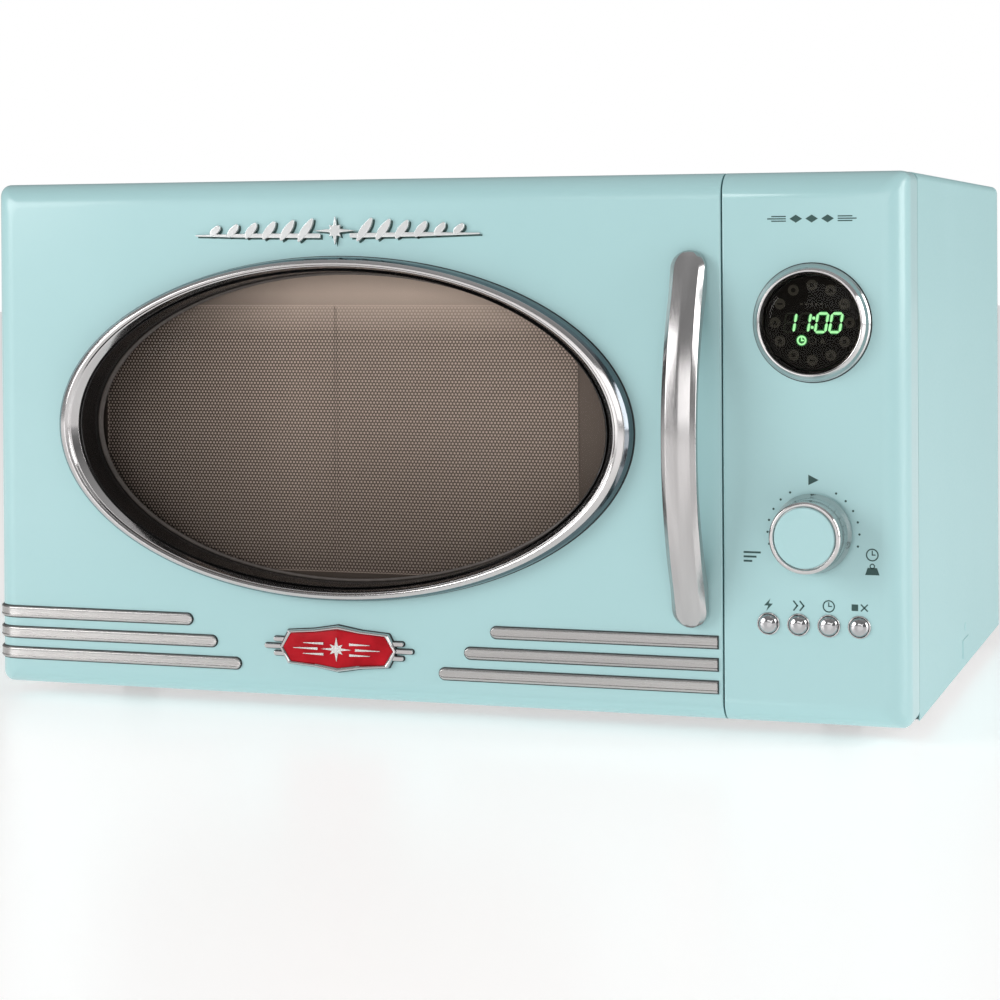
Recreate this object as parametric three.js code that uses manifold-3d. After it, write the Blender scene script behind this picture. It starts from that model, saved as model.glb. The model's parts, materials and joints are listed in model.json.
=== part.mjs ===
// Countertop microwave oven with a rounded retro front: steel case, side-hinged door with an oval
// chrome-ringed window, and a narrow control panel with a round display, a knob and four buttons.
// Millimetres, +X right, +Y back (the front faces -Y), +Z up. The finished group stands on Z = 0,
// centred on X and Y.
import * as THREE from "three";
import { mergeVertices } from "three/addons/utils/BufferGeometryUtils.js";
import Module from "manifold-3d";

const wasm = await Module();
wasm.setup();

// ---- Driving dimensions ------------------------------------------------------------------------

// Case
const BODY_W = 483; // across the case
const BODY_H = 264; // case without its feet
const BODY_D = 350; // flat of the front to the rear face of the back panel
const FOOT_H = 9;
const FOOT_R = 10;
const FOOT_INSET_X = 46;
const FOOT_INSET_FRONT = 78;
const FOOT_INSET_BACK = 36;
const SHEET_T = 0.6; // outer steel sheet
const LINER_T = 0.8; // oven liner steel
const CASE_CORNER = 4; // top corners of the wrapped sheet
const SEAM = 0.8; // gap between the front parts and the case behind them
const GAP = 0.3; // gap between pieces that touch
const FIT = 0.5; // clearance round what passes through a hole
const VENT_W = 56; // air slots in the back panel
const VENT_H = 3.5;
const VENT_PITCH = 9;
const VENT_DROP = 42; // top row of slots below the case top
const FLOOR_SLOT_W = 5; // air slots in the base plate
const FLOOR_SLOT_PITCH = 24;

// Front
const FRONT_T = 32; // door and control panel, front to back
const FRONT_ROUND = 13; // rounding of the outer front edges
const FRONT_CORNER = 5; // corner radius seen from the front
const MOULD_T = 2.5; // wall of the door and panel mouldings
const PANEL_W = 88.5; // control panel, with the slit beside the door
const SLIT = 0.9; // slit between door and control panel

// Door window
const RING_MARGIN_LEFT = 41; // door edge to the ring
const RING_MARGIN_RIGHT = 43;
const RING_MARGIN_TOP = 39;
const RING_MARGIN_BOTTOM = 51.5;
const RING_W = 12; // across the ring at its sides
const RING_PROUD = 9; // how far the ring stands off the door
const RING_SKIRT = 2.5; // wall of the ring's sleeve through the door
const RECESS_TAPER = 1.8; // how far the recess wall narrows towards the glass
const FLANGE_W = 8; // oval flange between the recess wall and the view of the screen
const RECESS_DEPTH = 13.5; // door face to the glass
const GLASS_T = 3;
const OVAL_STEPS = 64;
const PAN_T = 1.2; // walls of the perforated screen's pan
const PAN_STEP = 26; // from the pan's outer wall to its inner wall
const COVER_FRAME = 32; // choke cover above and below its opening

// Door trim
const STRIP_H = 5.6;
const STRIP_PROUD = 1.5;
const STRIP_HEIGHTS = [38.7, 27.9, 17.1]; // above the case bottom, from the top strip down
const STRIP_REACH = [81, 67.3, 53.9]; // ring centre to the rounded inner ends
const STRIP_EDGE = 2.2; // right ends to the door's edge
const STRIP_WRAP = 18; // how far the left strips run back along the side
const BADGE_Z = 27.2;
const BADGE_W = 63.5;
const BADGE_H = 23.5;
const BADGE_BAR_REACH = [35.2, 40.2, 35.2];
const BADGE_BAR_H = 2.2;
const BADGE_BAR_PITCH = 3.6;
const BADGE_PROUD = 3;
const BADGE_RIM = 2.2;
const EMBLEM_DROP = 26; // ornament below the case top
const EMBLEM_W = 154;
const EMBLEM_H = 10;
const EMBLEM_T = 1.8;

// Handle
const HANDLE_X_INSET = 14.6; // handle centre to the door's right edge
const HANDLE_W = 17;
const HANDLE_MARGIN_TOP = 37; // handle end to the top of the door
const HANDLE_MARGIN_BOTTOM = 45.7;
const HANDLE_REACH = 29;
const HANDLE_T = 7; // bar thickness at the middle
const HANDLE_END_T = 5; // thickness at its tips
const HANDLE_PAD = 24; // length of each end that lies on the door
const HANDLE_SCREW_INSET = 13;
const SCREW_R = 2;
const SCREW_HEAD_R = 4;
const SCREW_HEAD_T = 2.4;

// Controls
const DISPLAY_DROP = 71.7; // display centre below the case top
const LENS_R = 22.5;
const BEZEL_W = 5.7;
const BEZEL_PROUD = 7;
const KNOB_Z = 92.6; // above the case bottom
const KNOB_R = 19;
const KNOB_FACE_R = 16.9;
const KNOB_CAP_R = 14.4;
const KNOB_PROUD = 22.5;
const KNOB_TRAVEL = 1.5;
const SHAFT_R = 3;
const BUTTON_Z = 48.8;
const BUTTON_PITCH = 14.5;
const BUTTON_R = 4.65;
const BUTTON_PROUD = 3;
const BUTTON_TRAVEL = 1.2;
const BOARD_Y = 20; // front face of the circuit board
const BOARD_T = 1.6;
const ENCODER_W = 13;
const ENCODER_D = 7;

// Oven
const CAVITY_LEFT = 26; // case side to the oven's inside wall
const CAVITY_RIGHT = 34; // slit beside the door to the oven's inside wall
const CAVITY_FLOOR = 24; // case bottom to the oven floor
const CAVITY_ROOF = 33; // oven roof to the case top
const CAVITY_BACK = 22; // oven back to the case's rear face
const FLANGE_INSET = 3; // front flange to the case's top and bottom
const TRAY_CLEAR = 12; // tray rim to the nearest oven wall
const TRAY_T = 4;
const TRAY_RIM_H = 12;
const ROLLER_R = 9;
const ROLLER_W = 8;
const ROLLER_TRACK = 99; // turntable centre to the rollers' middles
const AXLE_R = 2.5;
const MOTOR_R = 25;
const MOTOR_H = 15;

// Hinges and latch
const PIN_INSET_X = 6; // pin axis to the door's left edge
const PIN_INSET_Y = 8; // pin axis to the door's rear plane
const PIN_R = 2;
const TAB_T = 2;
const TAB_INSET_Z = 12; // hinge tab to the case top or bottom
const LUG_H = 10;
const LATCH_X_INSET = 11; // latch plate to the door's right edge
const LATCH_T = 3;
const LATCH_D = 7; // latch plate, front to back
const CHOKE_T = 3.6; // room for the choke cover at the door's back
const LATCH_TRAVEL = 4;
const HOOK_REACH = 13; // hooks behind the door's rear plane
const HOOK_H = 8;
const HOOK_NOSE = 3;
const HOOK_SPREAD = 140; // distance between the two hooks
const BRACKET_T = 2; // latch bracket's plates
const BRACKET_OVER = 22; // bracket beyond the middle of each hook
const SWITCH_ROOM = 12; // hook tips to the bracket
const TAB_R = 5; // round end of a hinge tab
const LEG_H = 26; // hinge leg behind the oven's flange
const LEG_T = 1.6;

// Works in the right compartment
const GUIDE_W = 30; // waveguide box across X
const MAGNETRON = [70, 80, 75];
const ANTENNA_R = 8;
const FAN_FRAME = 9; // plate beyond the blades' reach
const TRANSFORMER = [90, 82, 76];
const CAPACITOR = [32, 80, 52];
const FAN_R = 38;
const FAN_BLADES = 5;
const GLAND_R = 9;
const GLAND_PROUD = 5;
const CORD_HOLE_R = 3.6;

// ---- Places worked out from them ---------------------------------------------------------------

const LEFT = -BODY_W / 2;
const RIGHT = BODY_W / 2;
const BOTTOM = FOOT_H;
const TOP = FOOT_H + BODY_H;
const up = (height) => BOTTOM + height;
const SLIT_X = RIGHT - PANEL_W; // right of the slit
const DOOR_X1 = SLIT_X - SLIT;
const DOOR_W = DOOR_X1 - LEFT;
const RING_X = (LEFT + RING_MARGIN_LEFT + DOOR_X1 - RING_MARGIN_RIGHT) / 2;
const RING_Z = (BOTTOM + RING_MARGIN_BOTTOM + TOP - RING_MARGIN_TOP) / 2;
const RING_A = (DOOR_W - RING_MARGIN_LEFT - RING_MARGIN_RIGHT) / 2;
const RING_B = (BODY_H - RING_MARGIN_TOP - RING_MARGIN_BOTTOM) / 2;
const OVAL = RING_B / RING_A; // height share of every oval piece
const SKIRT_R = RING_A - RING_W; // inner face of the ring
const GLASS_R = SKIRT_R + 7;
const CONTROL_X = (SLIT_X + RIGHT) / 2 - 0.8;
const HANDLE_X = DOOR_X1 - HANDLE_X_INSET;
const HANDLE_Z0 = BOTTOM + HANDLE_MARGIN_BOTTOM;
const HANDLE_Z1 = TOP - HANDLE_MARGIN_TOP;
const CASE_Y0 = FRONT_T + SEAM;
const OVEN_X0 = LEFT + CAVITY_LEFT;
const OVEN_X1 = SLIT_X - CAVITY_RIGHT;
const OVEN_Y1 = BODY_D - CAVITY_BACK;
const OVEN_Z0 = up(CAVITY_FLOOR);
const OVEN_Z1 = TOP - CAVITY_ROOF;
const OVEN_X = (OVEN_X0 + OVEN_X1) / 2;
const OVEN_Y = (CASE_Y0 + OVEN_Y1) / 2;
const TRAY_R = Math.min(OVEN_X1 - OVEN_X0, OVEN_Y1 - CASE_Y0) / 2 - TRAY_CLEAR;
const TRAY_Z = OVEN_Z0 + GAP + 2 * ROLLER_R + GAP; // underside of the tray
const PIN_X = LEFT + PIN_INSET_X;
const PIN_Y = FRONT_T - PIN_INSET_Y;
const LATCH_X = DOOR_X1 - LATCH_X_INSET;
const LATCH_Z = (BOTTOM + TOP) / 2;
const SCREEN_X1 = LATCH_X - 6;

// ---- Shapes and solids -------------------------------------------------------------------------

// A closed geometry as a solid, with its shared vertices merged and empty faces dropped.
function solid(geometry) {
  const bare = new THREE.BufferGeometry();
  bare.setAttribute("position", geometry.getAttribute("position").clone());
  if (geometry.index) bare.setIndex(geometry.index);
  const merged = mergeVertices(bare, 1e-4);
  const index = merged.index.array;
  const triangles = [];
  for (let i = 0; i < index.length; i += 3) {
    const [a, b, c] = [index[i], index[i + 1], index[i + 2]];
    if (a !== b && b !== c && c !== a) triangles.push(a, b, c);
  }
  return new wasm.Manifold(
    new wasm.Mesh({
      numProp: 3,
      vertProperties: new Float32Array(merged.attributes.position.array),
      triVerts: new Uint32Array(triangles),
    }),
  );
}

const join = (first, ...rest) => rest.reduce((whole, piece) => whole.add(piece), first);
const cut = (first, ...rest) => rest.reduce((whole, piece) => whole.subtract(piece), first);

function block(x0, x1, y0, y1, z0, z1) {
  const geometry = new THREE.BoxGeometry(x1 - x0, y1 - y0, z1 - z0);
  return solid(geometry.translate((x0 + x1) / 2, (y0 + y1) / 2, (z0 + z1) / 2));
}

// A shape drawn in X and Z, carried along Y from y0 to y1.
function prismY(shape, y0, y1, curveSegments = 6) {
  const options = { depth: y1 - y0, bevelEnabled: false, curveSegments };
  const geometry = new THREE.ExtrudeGeometry(shape, options);
  return solid(geometry.rotateX(Math.PI / 2).translate(0, y1, 0));
}

// A shape drawn in X and Y, carried along Z from z0 to z1.
function prismZ(shape, z0, z1, curveSegments = 6) {
  const options = { depth: z1 - z0, bevelEnabled: false, curveSegments };
  return solid(new THREE.ExtrudeGeometry(shape, options).translate(0, 0, z0));
}

// A shape drawn in Y and Z, carried along X from x0 to x1.
function prismX(shape, x0, x1, curveSegments = 6) {
  const options = { depth: x1 - x0, bevelEnabled: false, curveSegments };
  const turn = new THREE.Matrix4().makeBasis(
    new THREE.Vector3(0, 1, 0),
    new THREE.Vector3(0, 0, 1),
    new THREE.Vector3(1, 0, 0),
  );
  const geometry = new THREE.ExtrudeGeometry(shape, options).applyMatrix4(turn);
  return solid(geometry.translate(x0, 0, 0));
}

// A profile of [radius, distance along the axis] points as a closed turned geometry about Y.
function turned(profile, steps) {
  const area = profile.reduce((sum, [r, h], i) => {
    const [r2, h2] = profile[(i + 1) % profile.length];
    return sum + r * h2 - r2 * h;
  }, 0);
  const ordered = area > 0 ? profile : [...profile].reverse();
  const onAxis = ordered.some(([r]) => r === 0);
  const start = onAxis ? ordered.findIndex(([r], i) => r === 0 && ordered.at(i - 1)[0] === 0) : 0;
  const run = [...ordered.slice(start), ...ordered.slice(0, start)];
  const points = run.map(([r, h]) => new THREE.Vector2(r, h));
  if (!onAxis) points.push(points[0].clone());
  return new THREE.LatheGeometry(points, steps);
}

const turnedY = (profile, x, z, steps = 24) => solid(turned(profile, steps).translate(x, 0, z));
const turnedZ = (profile, x, y, steps = 24) =>
  solid(turned(profile, steps).rotateX(Math.PI / 2).translate(x, y, 0));
const turnedX = (profile, y, z, steps = 24) =>
  solid(turned(profile, steps).rotateZ(-Math.PI / 2).translate(0, y, z));

// An oval turned piece about the window's centre: radii are given along X.
function oval(profile) {
  const geometry = turned(profile, OVAL_STEPS).scale(1, 1, OVAL);
  return solid(geometry.translate(RING_X, 0, RING_Z));
}

const rodY = (x, z, r, y0, y1, steps = 20) =>
  turnedY([[0, y0], [r, y0], [r, y1], [0, y1]], x, z, steps);
const rodZ = (x, y, r, z0, z1, steps = 20) =>
  turnedZ([[0, z0], [r, z0], [r, z1], [0, z1]], x, y, steps);
const rodX = (y, z, r, x0, x1, steps = 20) =>
  turnedX([[0, x0], [r, x0], [r, x1], [0, x1]], y, z, steps);

function polygon(points) {
  return new THREE.Shape(points.map(([a, b]) => new THREE.Vector2(a, b)));
}

function roundedRect(x0, x1, z0, z1, r) {
  const shape = new THREE.Shape();
  shape.moveTo(x0 + r, z0);
  shape.lineTo(x1 - r, z0);
  shape.absarc(x1 - r, z0 + r, r, -Math.PI / 2, 0);
  shape.absarc(x1 - r, z1 - r, r, 0, Math.PI / 2);
  shape.absarc(x0 + r, z1 - r, r, Math.PI / 2, Math.PI);
  shape.absarc(x0 + r, z0 + r, r, Math.PI, 1.5 * Math.PI);
  return shape;
}

// Section of the front slab: flat behind, rounded at both of its front edges.
function roundedFront(a0, a1, round, y0, y1) {
  const shape = new THREE.Shape();
  shape.moveTo(a1, y1);
  shape.lineTo(a0, y1);
  shape.absarc(a0 + round, y0 + round, round, Math.PI, 1.5 * Math.PI);
  shape.absarc(a1 - round, y0 + round, round, 1.5 * Math.PI, 2 * Math.PI);
  return shape;
}

// The whole front as one rounded slab, grown evenly by `grow` and cut off behind at `y1`.
function frontSlab(grow, y1 = FRONT_T) {
  const round = FRONT_ROUND + grow;
  const [x0, x1, z0, z1] = [LEFT - grow, RIGHT + grow, BOTTOM - grow, TOP + grow];
  const corner = Math.max(FRONT_CORNER + grow, 1);
  const across = prismZ(roundedFront(x0, x1, round, -grow, y1), z0 - 1, z1 + 1, 5);
  const turn = new THREE.Matrix4().makeBasis(
    new THREE.Vector3(0, 0, 1),
    new THREE.Vector3(0, 1, 0),
    new THREE.Vector3(-1, 0, 0),
  );
  const options = { depth: x1 - x0 + 2, bevelEnabled: false, curveSegments: 5 };
  const side = new THREE.ExtrudeGeometry(roundedFront(z0, z1, round, -grow, y1), options);
  const upright = solid(side.applyMatrix4(turn).translate(x1 + 1, 0, 0));
  const outline = prismY(roundedRect(x0, x1, z0, z1, corner), -grow - 1, y1 + 1, 4);
  return across.intersect(upright).intersect(outline);
}

// ---- The assembly ------------------------------------------------------------------------------

const FINISHES = {
  enamel: [0xb0dbdb, 0.32, 0],
  steel: [0xb9bcbc, 0.45, 0.9],
  chrome: [0xd8d9da, 0.12, 1],
  satin: [0xc3c0bd, 0.35, 0.9],
  liner: [0xd9dad6, 0.4, 0.1],
  darkPlastic: [0x2a2624, 0.5, 0],
  glass: [0x8d8781, 0.08, 0],
  screen: [0x6f665f, 0.5, 0.3],
  display: [0x0b0c0c, 0.1, 0],
  red: [0xc01f2c, 0.2, 0],
  board: [0x2f6b45, 0.6, 0],
  rubber: [0x1d1d1d, 0.85, 0],
  whitePlastic: [0xdedcd4, 0.5, 0],
  copper: [0xa8622f, 0.45, 0.8],
  mica: [0xcbbd9d, 0.6, 0],
};

const oven = new THREE.Group();

function addNode(name, body, finish) {
  const [color, roughness, metalness] = FINISHES[finish];
  const { numProp, vertProperties, triVerts } = body.getMesh();
  const positions = new Float32Array((vertProperties.length / numProp) * 3);
  for (let i = 0; i < positions.length / 3; i += 1) {
    positions.set(vertProperties.subarray(i * numProp, i * numProp + 3), i * 3);
  }
  const geometry = new THREE.BufferGeometry();
  geometry.setAttribute("position", new THREE.BufferAttribute(positions, 3));
  geometry.setIndex(new THREE.BufferAttribute(new Uint32Array(triVerts), 1));
  geometry.computeVertexNormals();
  const material = new THREE.MeshStandardMaterial({ color, roughness, metalness });
  const mesh = new THREE.Mesh(geometry, material);
  mesh.name = name;
  oven.add(mesh);
}

// ---- Case --------------------------------------------------------------------------------------

function cabinetWrap() {
  const outer = roundedRect(LEFT, RIGHT, BOTTOM, TOP, CASE_CORNER);
  const inner = roundedRect(
    LEFT + SHEET_T, RIGHT - SHEET_T, BOTTOM + SHEET_T, TOP - SHEET_T, CASE_CORNER - SHEET_T,
  );
  const y1 = BODY_D - SHEET_T - GAP;
  const sleeve = cut(prismY(outer, CASE_Y0, y1), prismY(inner, CASE_Y0 - 1, y1 + 1));
  const foldZ = up(CASE_CORNER);
  const open = block(LEFT - 1, RIGHT + 1, CASE_Y0 - 1, y1 + 1, BOTTOM - 1, foldZ);
  const sides = [LEFT, RIGHT - SHEET_T].map((x) =>
    block(x, x + SHEET_T, CASE_Y0, y1, BOTTOM, foldZ),
  );
  return join(cut(sleeve, open), ...sides);
}

const INSIDE_X0 = LEFT + SHEET_T + GAP;
const INSIDE_X1 = RIGHT - SHEET_T - GAP;

function basePlate() {
  const y0 = CASE_Y0 + LINER_T + GAP;
  const y1 = BODY_D - SHEET_T - GAP;
  const plate = block(INSIDE_X0, INSIDE_X1, y0, y1, BOTTOM, BOTTOM + SHEET_T);
  const slots = [];
  for (let i = 0; i < 6; i += 1) {
    const y = OVEN_Y + FLOOR_SLOT_PITCH * (i - 2.5);
    const y2 = y + FLOOR_SLOT_W;
    slots.push(block(SLIT_X - 10, SLIT_X + 30, y, y2, BOTTOM - 1, BOTTOM + SHEET_T + 1));
  }
  return cut(plate, ...slots);
}

const GLAND_X = RIGHT - 40;
const GLAND_Z = up(34);

function backPanel() {
  const y0 = BODY_D - SHEET_T;
  const plate = block(LEFT, RIGHT, y0, BODY_D, BOTTOM, TOP - CASE_CORNER);
  const head = block(LEFT + CASE_CORNER, RIGHT - CASE_CORNER, y0, BODY_D, BOTTOM, TOP);
  const slots = [];
  for (const [x, rows] of [[OVEN_X - 70, 4], [OVEN_X + 10, 4], [CONTROL_X - 32, 9]]) {
    for (let row = 0; row < rows; row += 1) {
      const z = TOP - VENT_DROP - VENT_PITCH * row;
      slots.push(block(x, x + VENT_W, y0 - 1, BODY_D + 1, z, z + VENT_H));
    }
  }
  const glandHole = rodY(GLAND_X, GLAND_Z, GLAND_R - 2 + FIT, y0 - 1, BODY_D + 1);
  return cut(join(plate, head), ...slots, glandHole);
}

function cordGland() {
  const y0 = BODY_D - SHEET_T - 5;
  const outside = BODY_D + GAP;
  const end = BODY_D + GLAND_PROUD;
  const neck = GLAND_R - 2;
  const rim = [CORD_HOLE_R + 1.4, end];
  const profile = [[CORD_HOLE_R, y0], [neck, y0], [neck, outside], [GLAND_R, outside], rim];
  return turnedY([...profile, [CORD_HOLE_R, end]], GLAND_X, GLAND_Z);
}

function foot(x, y) {
  const top = BOTTOM - GAP;
  const profile = [[0, 0], [FOOT_R - 1.5, 0], [FOOT_R - 0.5, 1.2], [FOOT_R, top], [0, top]];
  return turnedZ(profile, x, y, 20);
}

// ---- Oven --------------------------------------------------------------------------------------

const GUIDE_Y0 = OVEN_Y - 60;
const GUIDE_Y1 = OVEN_Y + 40;
const GUIDE_Z1 = OVEN_Z1 - 4;
const GUIDE_Z0 = GUIDE_Z1 - 82;
const GUIDE_X1 = OVEN_X1 + LINER_T + GUIDE_W;
const ANTENNA_Y = (GUIDE_Y0 + GUIDE_Y1) / 2;
const ANTENNA_Z = (GUIDE_Z0 + GUIDE_Z1) / 2;
const TAB_Z = { lower: up(TAB_INSET_Z), upper: TOP - TAB_INSET_Z - TAB_T };
const HOOK_Z = [-0.5, 0.5].map((side) => LATCH_Z + side * HOOK_SPREAD);

function ovenCavity() {
  const t = LINER_T;
  const shell = block(OVEN_X0 - t, OVEN_X1 + t, CASE_Y0, OVEN_Y1 + t, OVEN_Z0 - t, OVEN_Z1 + t);
  const plate = roundedRect(
    INSIDE_X0 + GAP, SLIT_X - GAP, BOTTOM + FLANGE_INSET, TOP - FLANGE_INSET, CASE_CORNER,
  );
  const flange = prismY(plate, CASE_Y0, CASE_Y0 + t);
  const guide = block(OVEN_X1, GUIDE_X1, GUIDE_Y0, GUIDE_Y1, GUIDE_Z0, GUIDE_Z1);
  const room = block(OVEN_X0, OVEN_X1, CASE_Y0 - 1, OVEN_Y1, OVEN_Z0, OVEN_Z1);
  const channel = block(
    OVEN_X1 - 1, GUIDE_X1 - t, GUIDE_Y0 + t, GUIDE_Y1 - t, GUIDE_Z0 + t, GUIDE_Z1 - t,
  );
  const antennaHole = rodX(ANTENNA_Y, ANTENNA_Z, ANTENNA_R + 1 + FIT, GUIDE_X1 - t - 1, GUIDE_X1 + 1);
  const driveHole = rodZ(OVEN_X, OVEN_Y, 7, OVEN_Z0 - t - 1, OVEN_Z0 + 1);
  const tabSlots = Object.values(TAB_Z).map((z) =>
    block(PIN_X - 6, PIN_X + 6, CASE_Y0 - 1, CASE_Y0 + t + 1, z - FIT, z + TAB_T + FIT),
  );
  const hookSlots = HOOK_Z.map((z) =>
    block(
      LATCH_X - 1.5, LATCH_X + LATCH_T + 2, CASE_Y0 - 1, CASE_Y0 + t + 1,
      z - HOOK_H / 2 - HOOK_NOSE - FIT, z + HOOK_H / 2 + LATCH_TRAVEL + FIT,
    ),
  );
  const body = join(shell, flange, guide);
  return cut(body, room, channel, antennaHole, driveHole, ...tabSlots, ...hookSlots);
}

function waveguideCover() {
  const x1 = OVEN_X1 - GAP;
  return block(x1 - 1, x1, GUIDE_Y0 - 4, GUIDE_Y1 + 4, GUIDE_Z0 - 4, GUIDE_Z1 + 2);
}

function turntableMotor() {
  const z1 = OVEN_Z0 - LINER_T - GAP;
  const can = rodZ(OVEN_X, OVEN_Y, MOTOR_R, z1 - MOTOR_H, z1, 28);
  const ear = MOTOR_R + 9;
  const ears = block(OVEN_X - ear, OVEN_X + ear, OVEN_Y - 6, OVEN_Y + 6, z1 - 1.2, z1);
  const bore = rodZ(OVEN_X, OVEN_Y, SHAFT_R + FIT, z1 - 8, z1 + 1, 16);
  return cut(join(can, ears), bore);
}

function turntableCoupler() {
  const stem = rodZ(OVEN_X, OVEN_Y, SHAFT_R, OVEN_Z0 - LINER_T - 6, OVEN_Z0 + 3, 16);
  const hub = rodZ(OVEN_X, OVEN_Y, 9, OVEN_Z0 + 1.5, TRAY_Z - 5, 20);
  const arms = [0, 1, 2].map((i) => {
    const geometry = new THREE.BoxGeometry(15, 5, 5).translate(6.5, 0, 0);
    geometry.rotateZ((i * 2 * Math.PI) / 3).translate(OVEN_X, OVEN_Y, TRAY_Z - 2.5 - 2 * GAP);
    return solid(geometry);
  });
  return join(stem, hub, ...arms);
}

const ROLLER_Z = OVEN_Z0 + GAP + ROLLER_R;

// A piece made along +X from the turntable's centre, turned to the place of roller i.
function atRoller(geometry, i) {
  geometry.rotateZ(Math.PI / 2 + (i * 2 * Math.PI) / 3);
  return solid(geometry.translate(OVEN_X, OVEN_Y, ROLLER_Z));
}

function rollerRing() {
  const inner = ROLLER_TRACK - ROLLER_W / 2 - 9;
  const outer = inner + 7;
  const half = 3;
  const ring = [
    [inner, ROLLER_Z - half], [outer, ROLLER_Z - half],
    [outer, ROLLER_Z + half], [inner, ROLLER_Z + half],
  ];
  const end = ROLLER_TRACK + ROLLER_W / 2 + 1;
  const axle = [
    [0, inner + 3], [AXLE_R, inner + 3], [AXLE_R, end], [AXLE_R + 2, end],
    [AXLE_R + 2, end + 2], [0, end + 2],
  ];
  const axles = [0, 1, 2].map((i) => atRoller(turned(axle, 12).rotateZ(-Math.PI / 2), i));
  return join(turnedZ(ring, OVEN_X, OVEN_Y, 40), ...axles);
}

function roller(i) {
  const x0 = ROLLER_TRACK - ROLLER_W / 2;
  const x1 = ROLLER_TRACK + ROLLER_W / 2;
  const bore = AXLE_R + FIT;
  const profile = [
    [bore, x0], [ROLLER_R - 1, x0], [ROLLER_R, x0 + 1.5], [ROLLER_R, x1 - 1.5],
    [ROLLER_R - 1, x1], [bore, x1],
  ];
  return atRoller(turned(profile, 20).rotateZ(-Math.PI / 2), i);
}

function glassTray() {
  const flat = TRAY_R - 14;
  const z = TRAY_Z;
  return turnedZ(
    [
      [0, z], [flat, z], [TRAY_R - 4, z + 5], [TRAY_R, z + TRAY_RIM_H], [TRAY_R - 3, z + TRAY_RIM_H],
      [TRAY_R - 7, z + TRAY_T + 4], [flat - 1, z + TRAY_T], [0, z + TRAY_T],
    ],
    OVEN_X, OVEN_Y, 48,
  );
}

function cavityLamp() {
  const x0 = OVEN_X1 + LINER_T + GAP;
  const y = OVEN_Y1 - 70;
  const z = OVEN_Z1 - 24;
  return turnedX(
    [[0, x0], [5, x0 + 2], [6.5, x0 + 8], [5, x0 + 15], [7, x0 + 16], [7, x0 + 32], [0, x0 + 32]],
    y, z, 16,
  );
}

// ---- Works beside the oven ---------------------------------------------------------------------

function magnetron() {
  const [w, d, h] = MAGNETRON;
  const x0 = GUIDE_X1 + GAP;
  const y0 = ANTENNA_Y - d / 2;
  const z0 = ANTENNA_Z - h / 2;
  const can = block(x0, x0 + w, y0, y0 + d, z0, z0 + h);
  const slots = [];
  for (let i = 0; i < 6; i += 1) {
    const x = x0 + 12 + 8 * i;
    slots.push(block(x, x + 5, y0 - 1, y0 + d + 1, z0 + 8, ANTENNA_Z - 16));
    slots.push(block(x, x + 5, y0 - 1, y0 + d + 1, ANTENNA_Z + 16, z0 + h - 8));
  }
  const antenna = rodX(ANTENNA_Y, ANTENNA_Z, ANTENNA_R, GUIDE_X1 - 20, x0 + 1, 20);
  return join(cut(can, ...slots), antenna);
}

const WORKS_X0 = OVEN_X1 + LINER_T + 12;

function transformer() {
  const [w, d, h] = TRANSFORMER;
  const y0 = CASE_Y0 + LINER_T + 36;
  const z0 = BOTTOM + SHEET_T + GAP;
  const core = block(WORKS_X0, WORKS_X0 + w, y0 + 12, y0 + d - 12, z0, z0 + h);
  const coil = block(WORKS_X0 + 12, WORKS_X0 + w - 12, y0, y0 + d, z0 + 12, z0 + h - 12);
  const base = block(WORKS_X0, WORKS_X0 + w, y0 + 4, y0 + d - 4, z0, z0 + 2);
  return join(core, coil, base);
}

function capacitor() {
  const [w, d, h] = CAPACITOR;
  const y0 = CASE_Y0 + LINER_T + 36 + TRANSFORMER[1] + 14;
  const z0 = BOTTOM + SHEET_T + GAP;
  const can = roundedRect(WORKS_X0 + 20, WORKS_X0 + 20 + h, z0, z0 + w, w / 2 - 1);
  const postX = WORKS_X0 + 20 + h / 2;
  const posts = [-10, 10].map((dx) => rodY(postX + dx, z0 + w / 2, 2.5, y0 - 5, y0 + 1, 8));
  return join(prismY(can, y0, y0 + d), ...posts);
}

const FAN_X = GUIDE_X1 + 44;
const FAN_Z = ANTENNA_Z;
const FAN_Y = BODY_D - 50; // front of the blades

function fanMotor() {
  const plateY = FAN_Y - 8;
  const half = FAN_R + FAN_FRAME;
  const x1 = Math.min(FAN_X + half, INSIDE_X1 - 1);
  const plate = block(FAN_X - half, x1, plateY, plateY + 2, FAN_Z - half, FAN_Z + half);
  const throat = rodY(FAN_X, FAN_Z, FAN_R + 2, plateY - 1, plateY + 3, 32);
  const motorY = FAN_Y + 18;
  const motor = block(FAN_X - 16, FAN_X + 16, motorY, motorY + 20, FAN_Z - 16, FAN_Z + 16);
  const shaft = rodY(FAN_X, FAN_Z, 2, FAN_Y - 2, motorY + 1, 12);
  const arms = [-1, 1].map((side) => {
    const z0 = FAN_Z + side * (half - 3) - 3;
    const bar = block(FAN_X - 5, FAN_X + 5, plateY + 1, motorY + 12, z0, z0 + 6);
    const [a, b] = side < 0 ? [z0, FAN_Z - 15] : [FAN_Z + 15, z0 + 6];
    return join(bar, block(FAN_X - 5, FAN_X + 5, motorY + 6, motorY + 12, a, b));
  });
  return join(cut(plate, throat), motor, shaft, ...arms);
}

function fanBlade() {
  const [bore, r, y1] = [2.5, 8, FAN_Y + 14];
  const hub = turnedY([[bore, FAN_Y], [r, FAN_Y], [r, y1], [bore, y1]], FAN_X, FAN_Z, 20);
  const blades = [];
  for (let i = 0; i < FAN_BLADES; i += 1) {
    const blade = new THREE.BoxGeometry(FAN_R - 7, 1.4, 20).translate((FAN_R + 7) / 2, 0, 0);
    blade.rotateX(0.6).rotateY((i * 2 * Math.PI) / FAN_BLADES);
    blades.push(solid(blade.translate(FAN_X, FAN_Y + 7, FAN_Z)));
  }
  return join(hub, ...blades);
}

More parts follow.
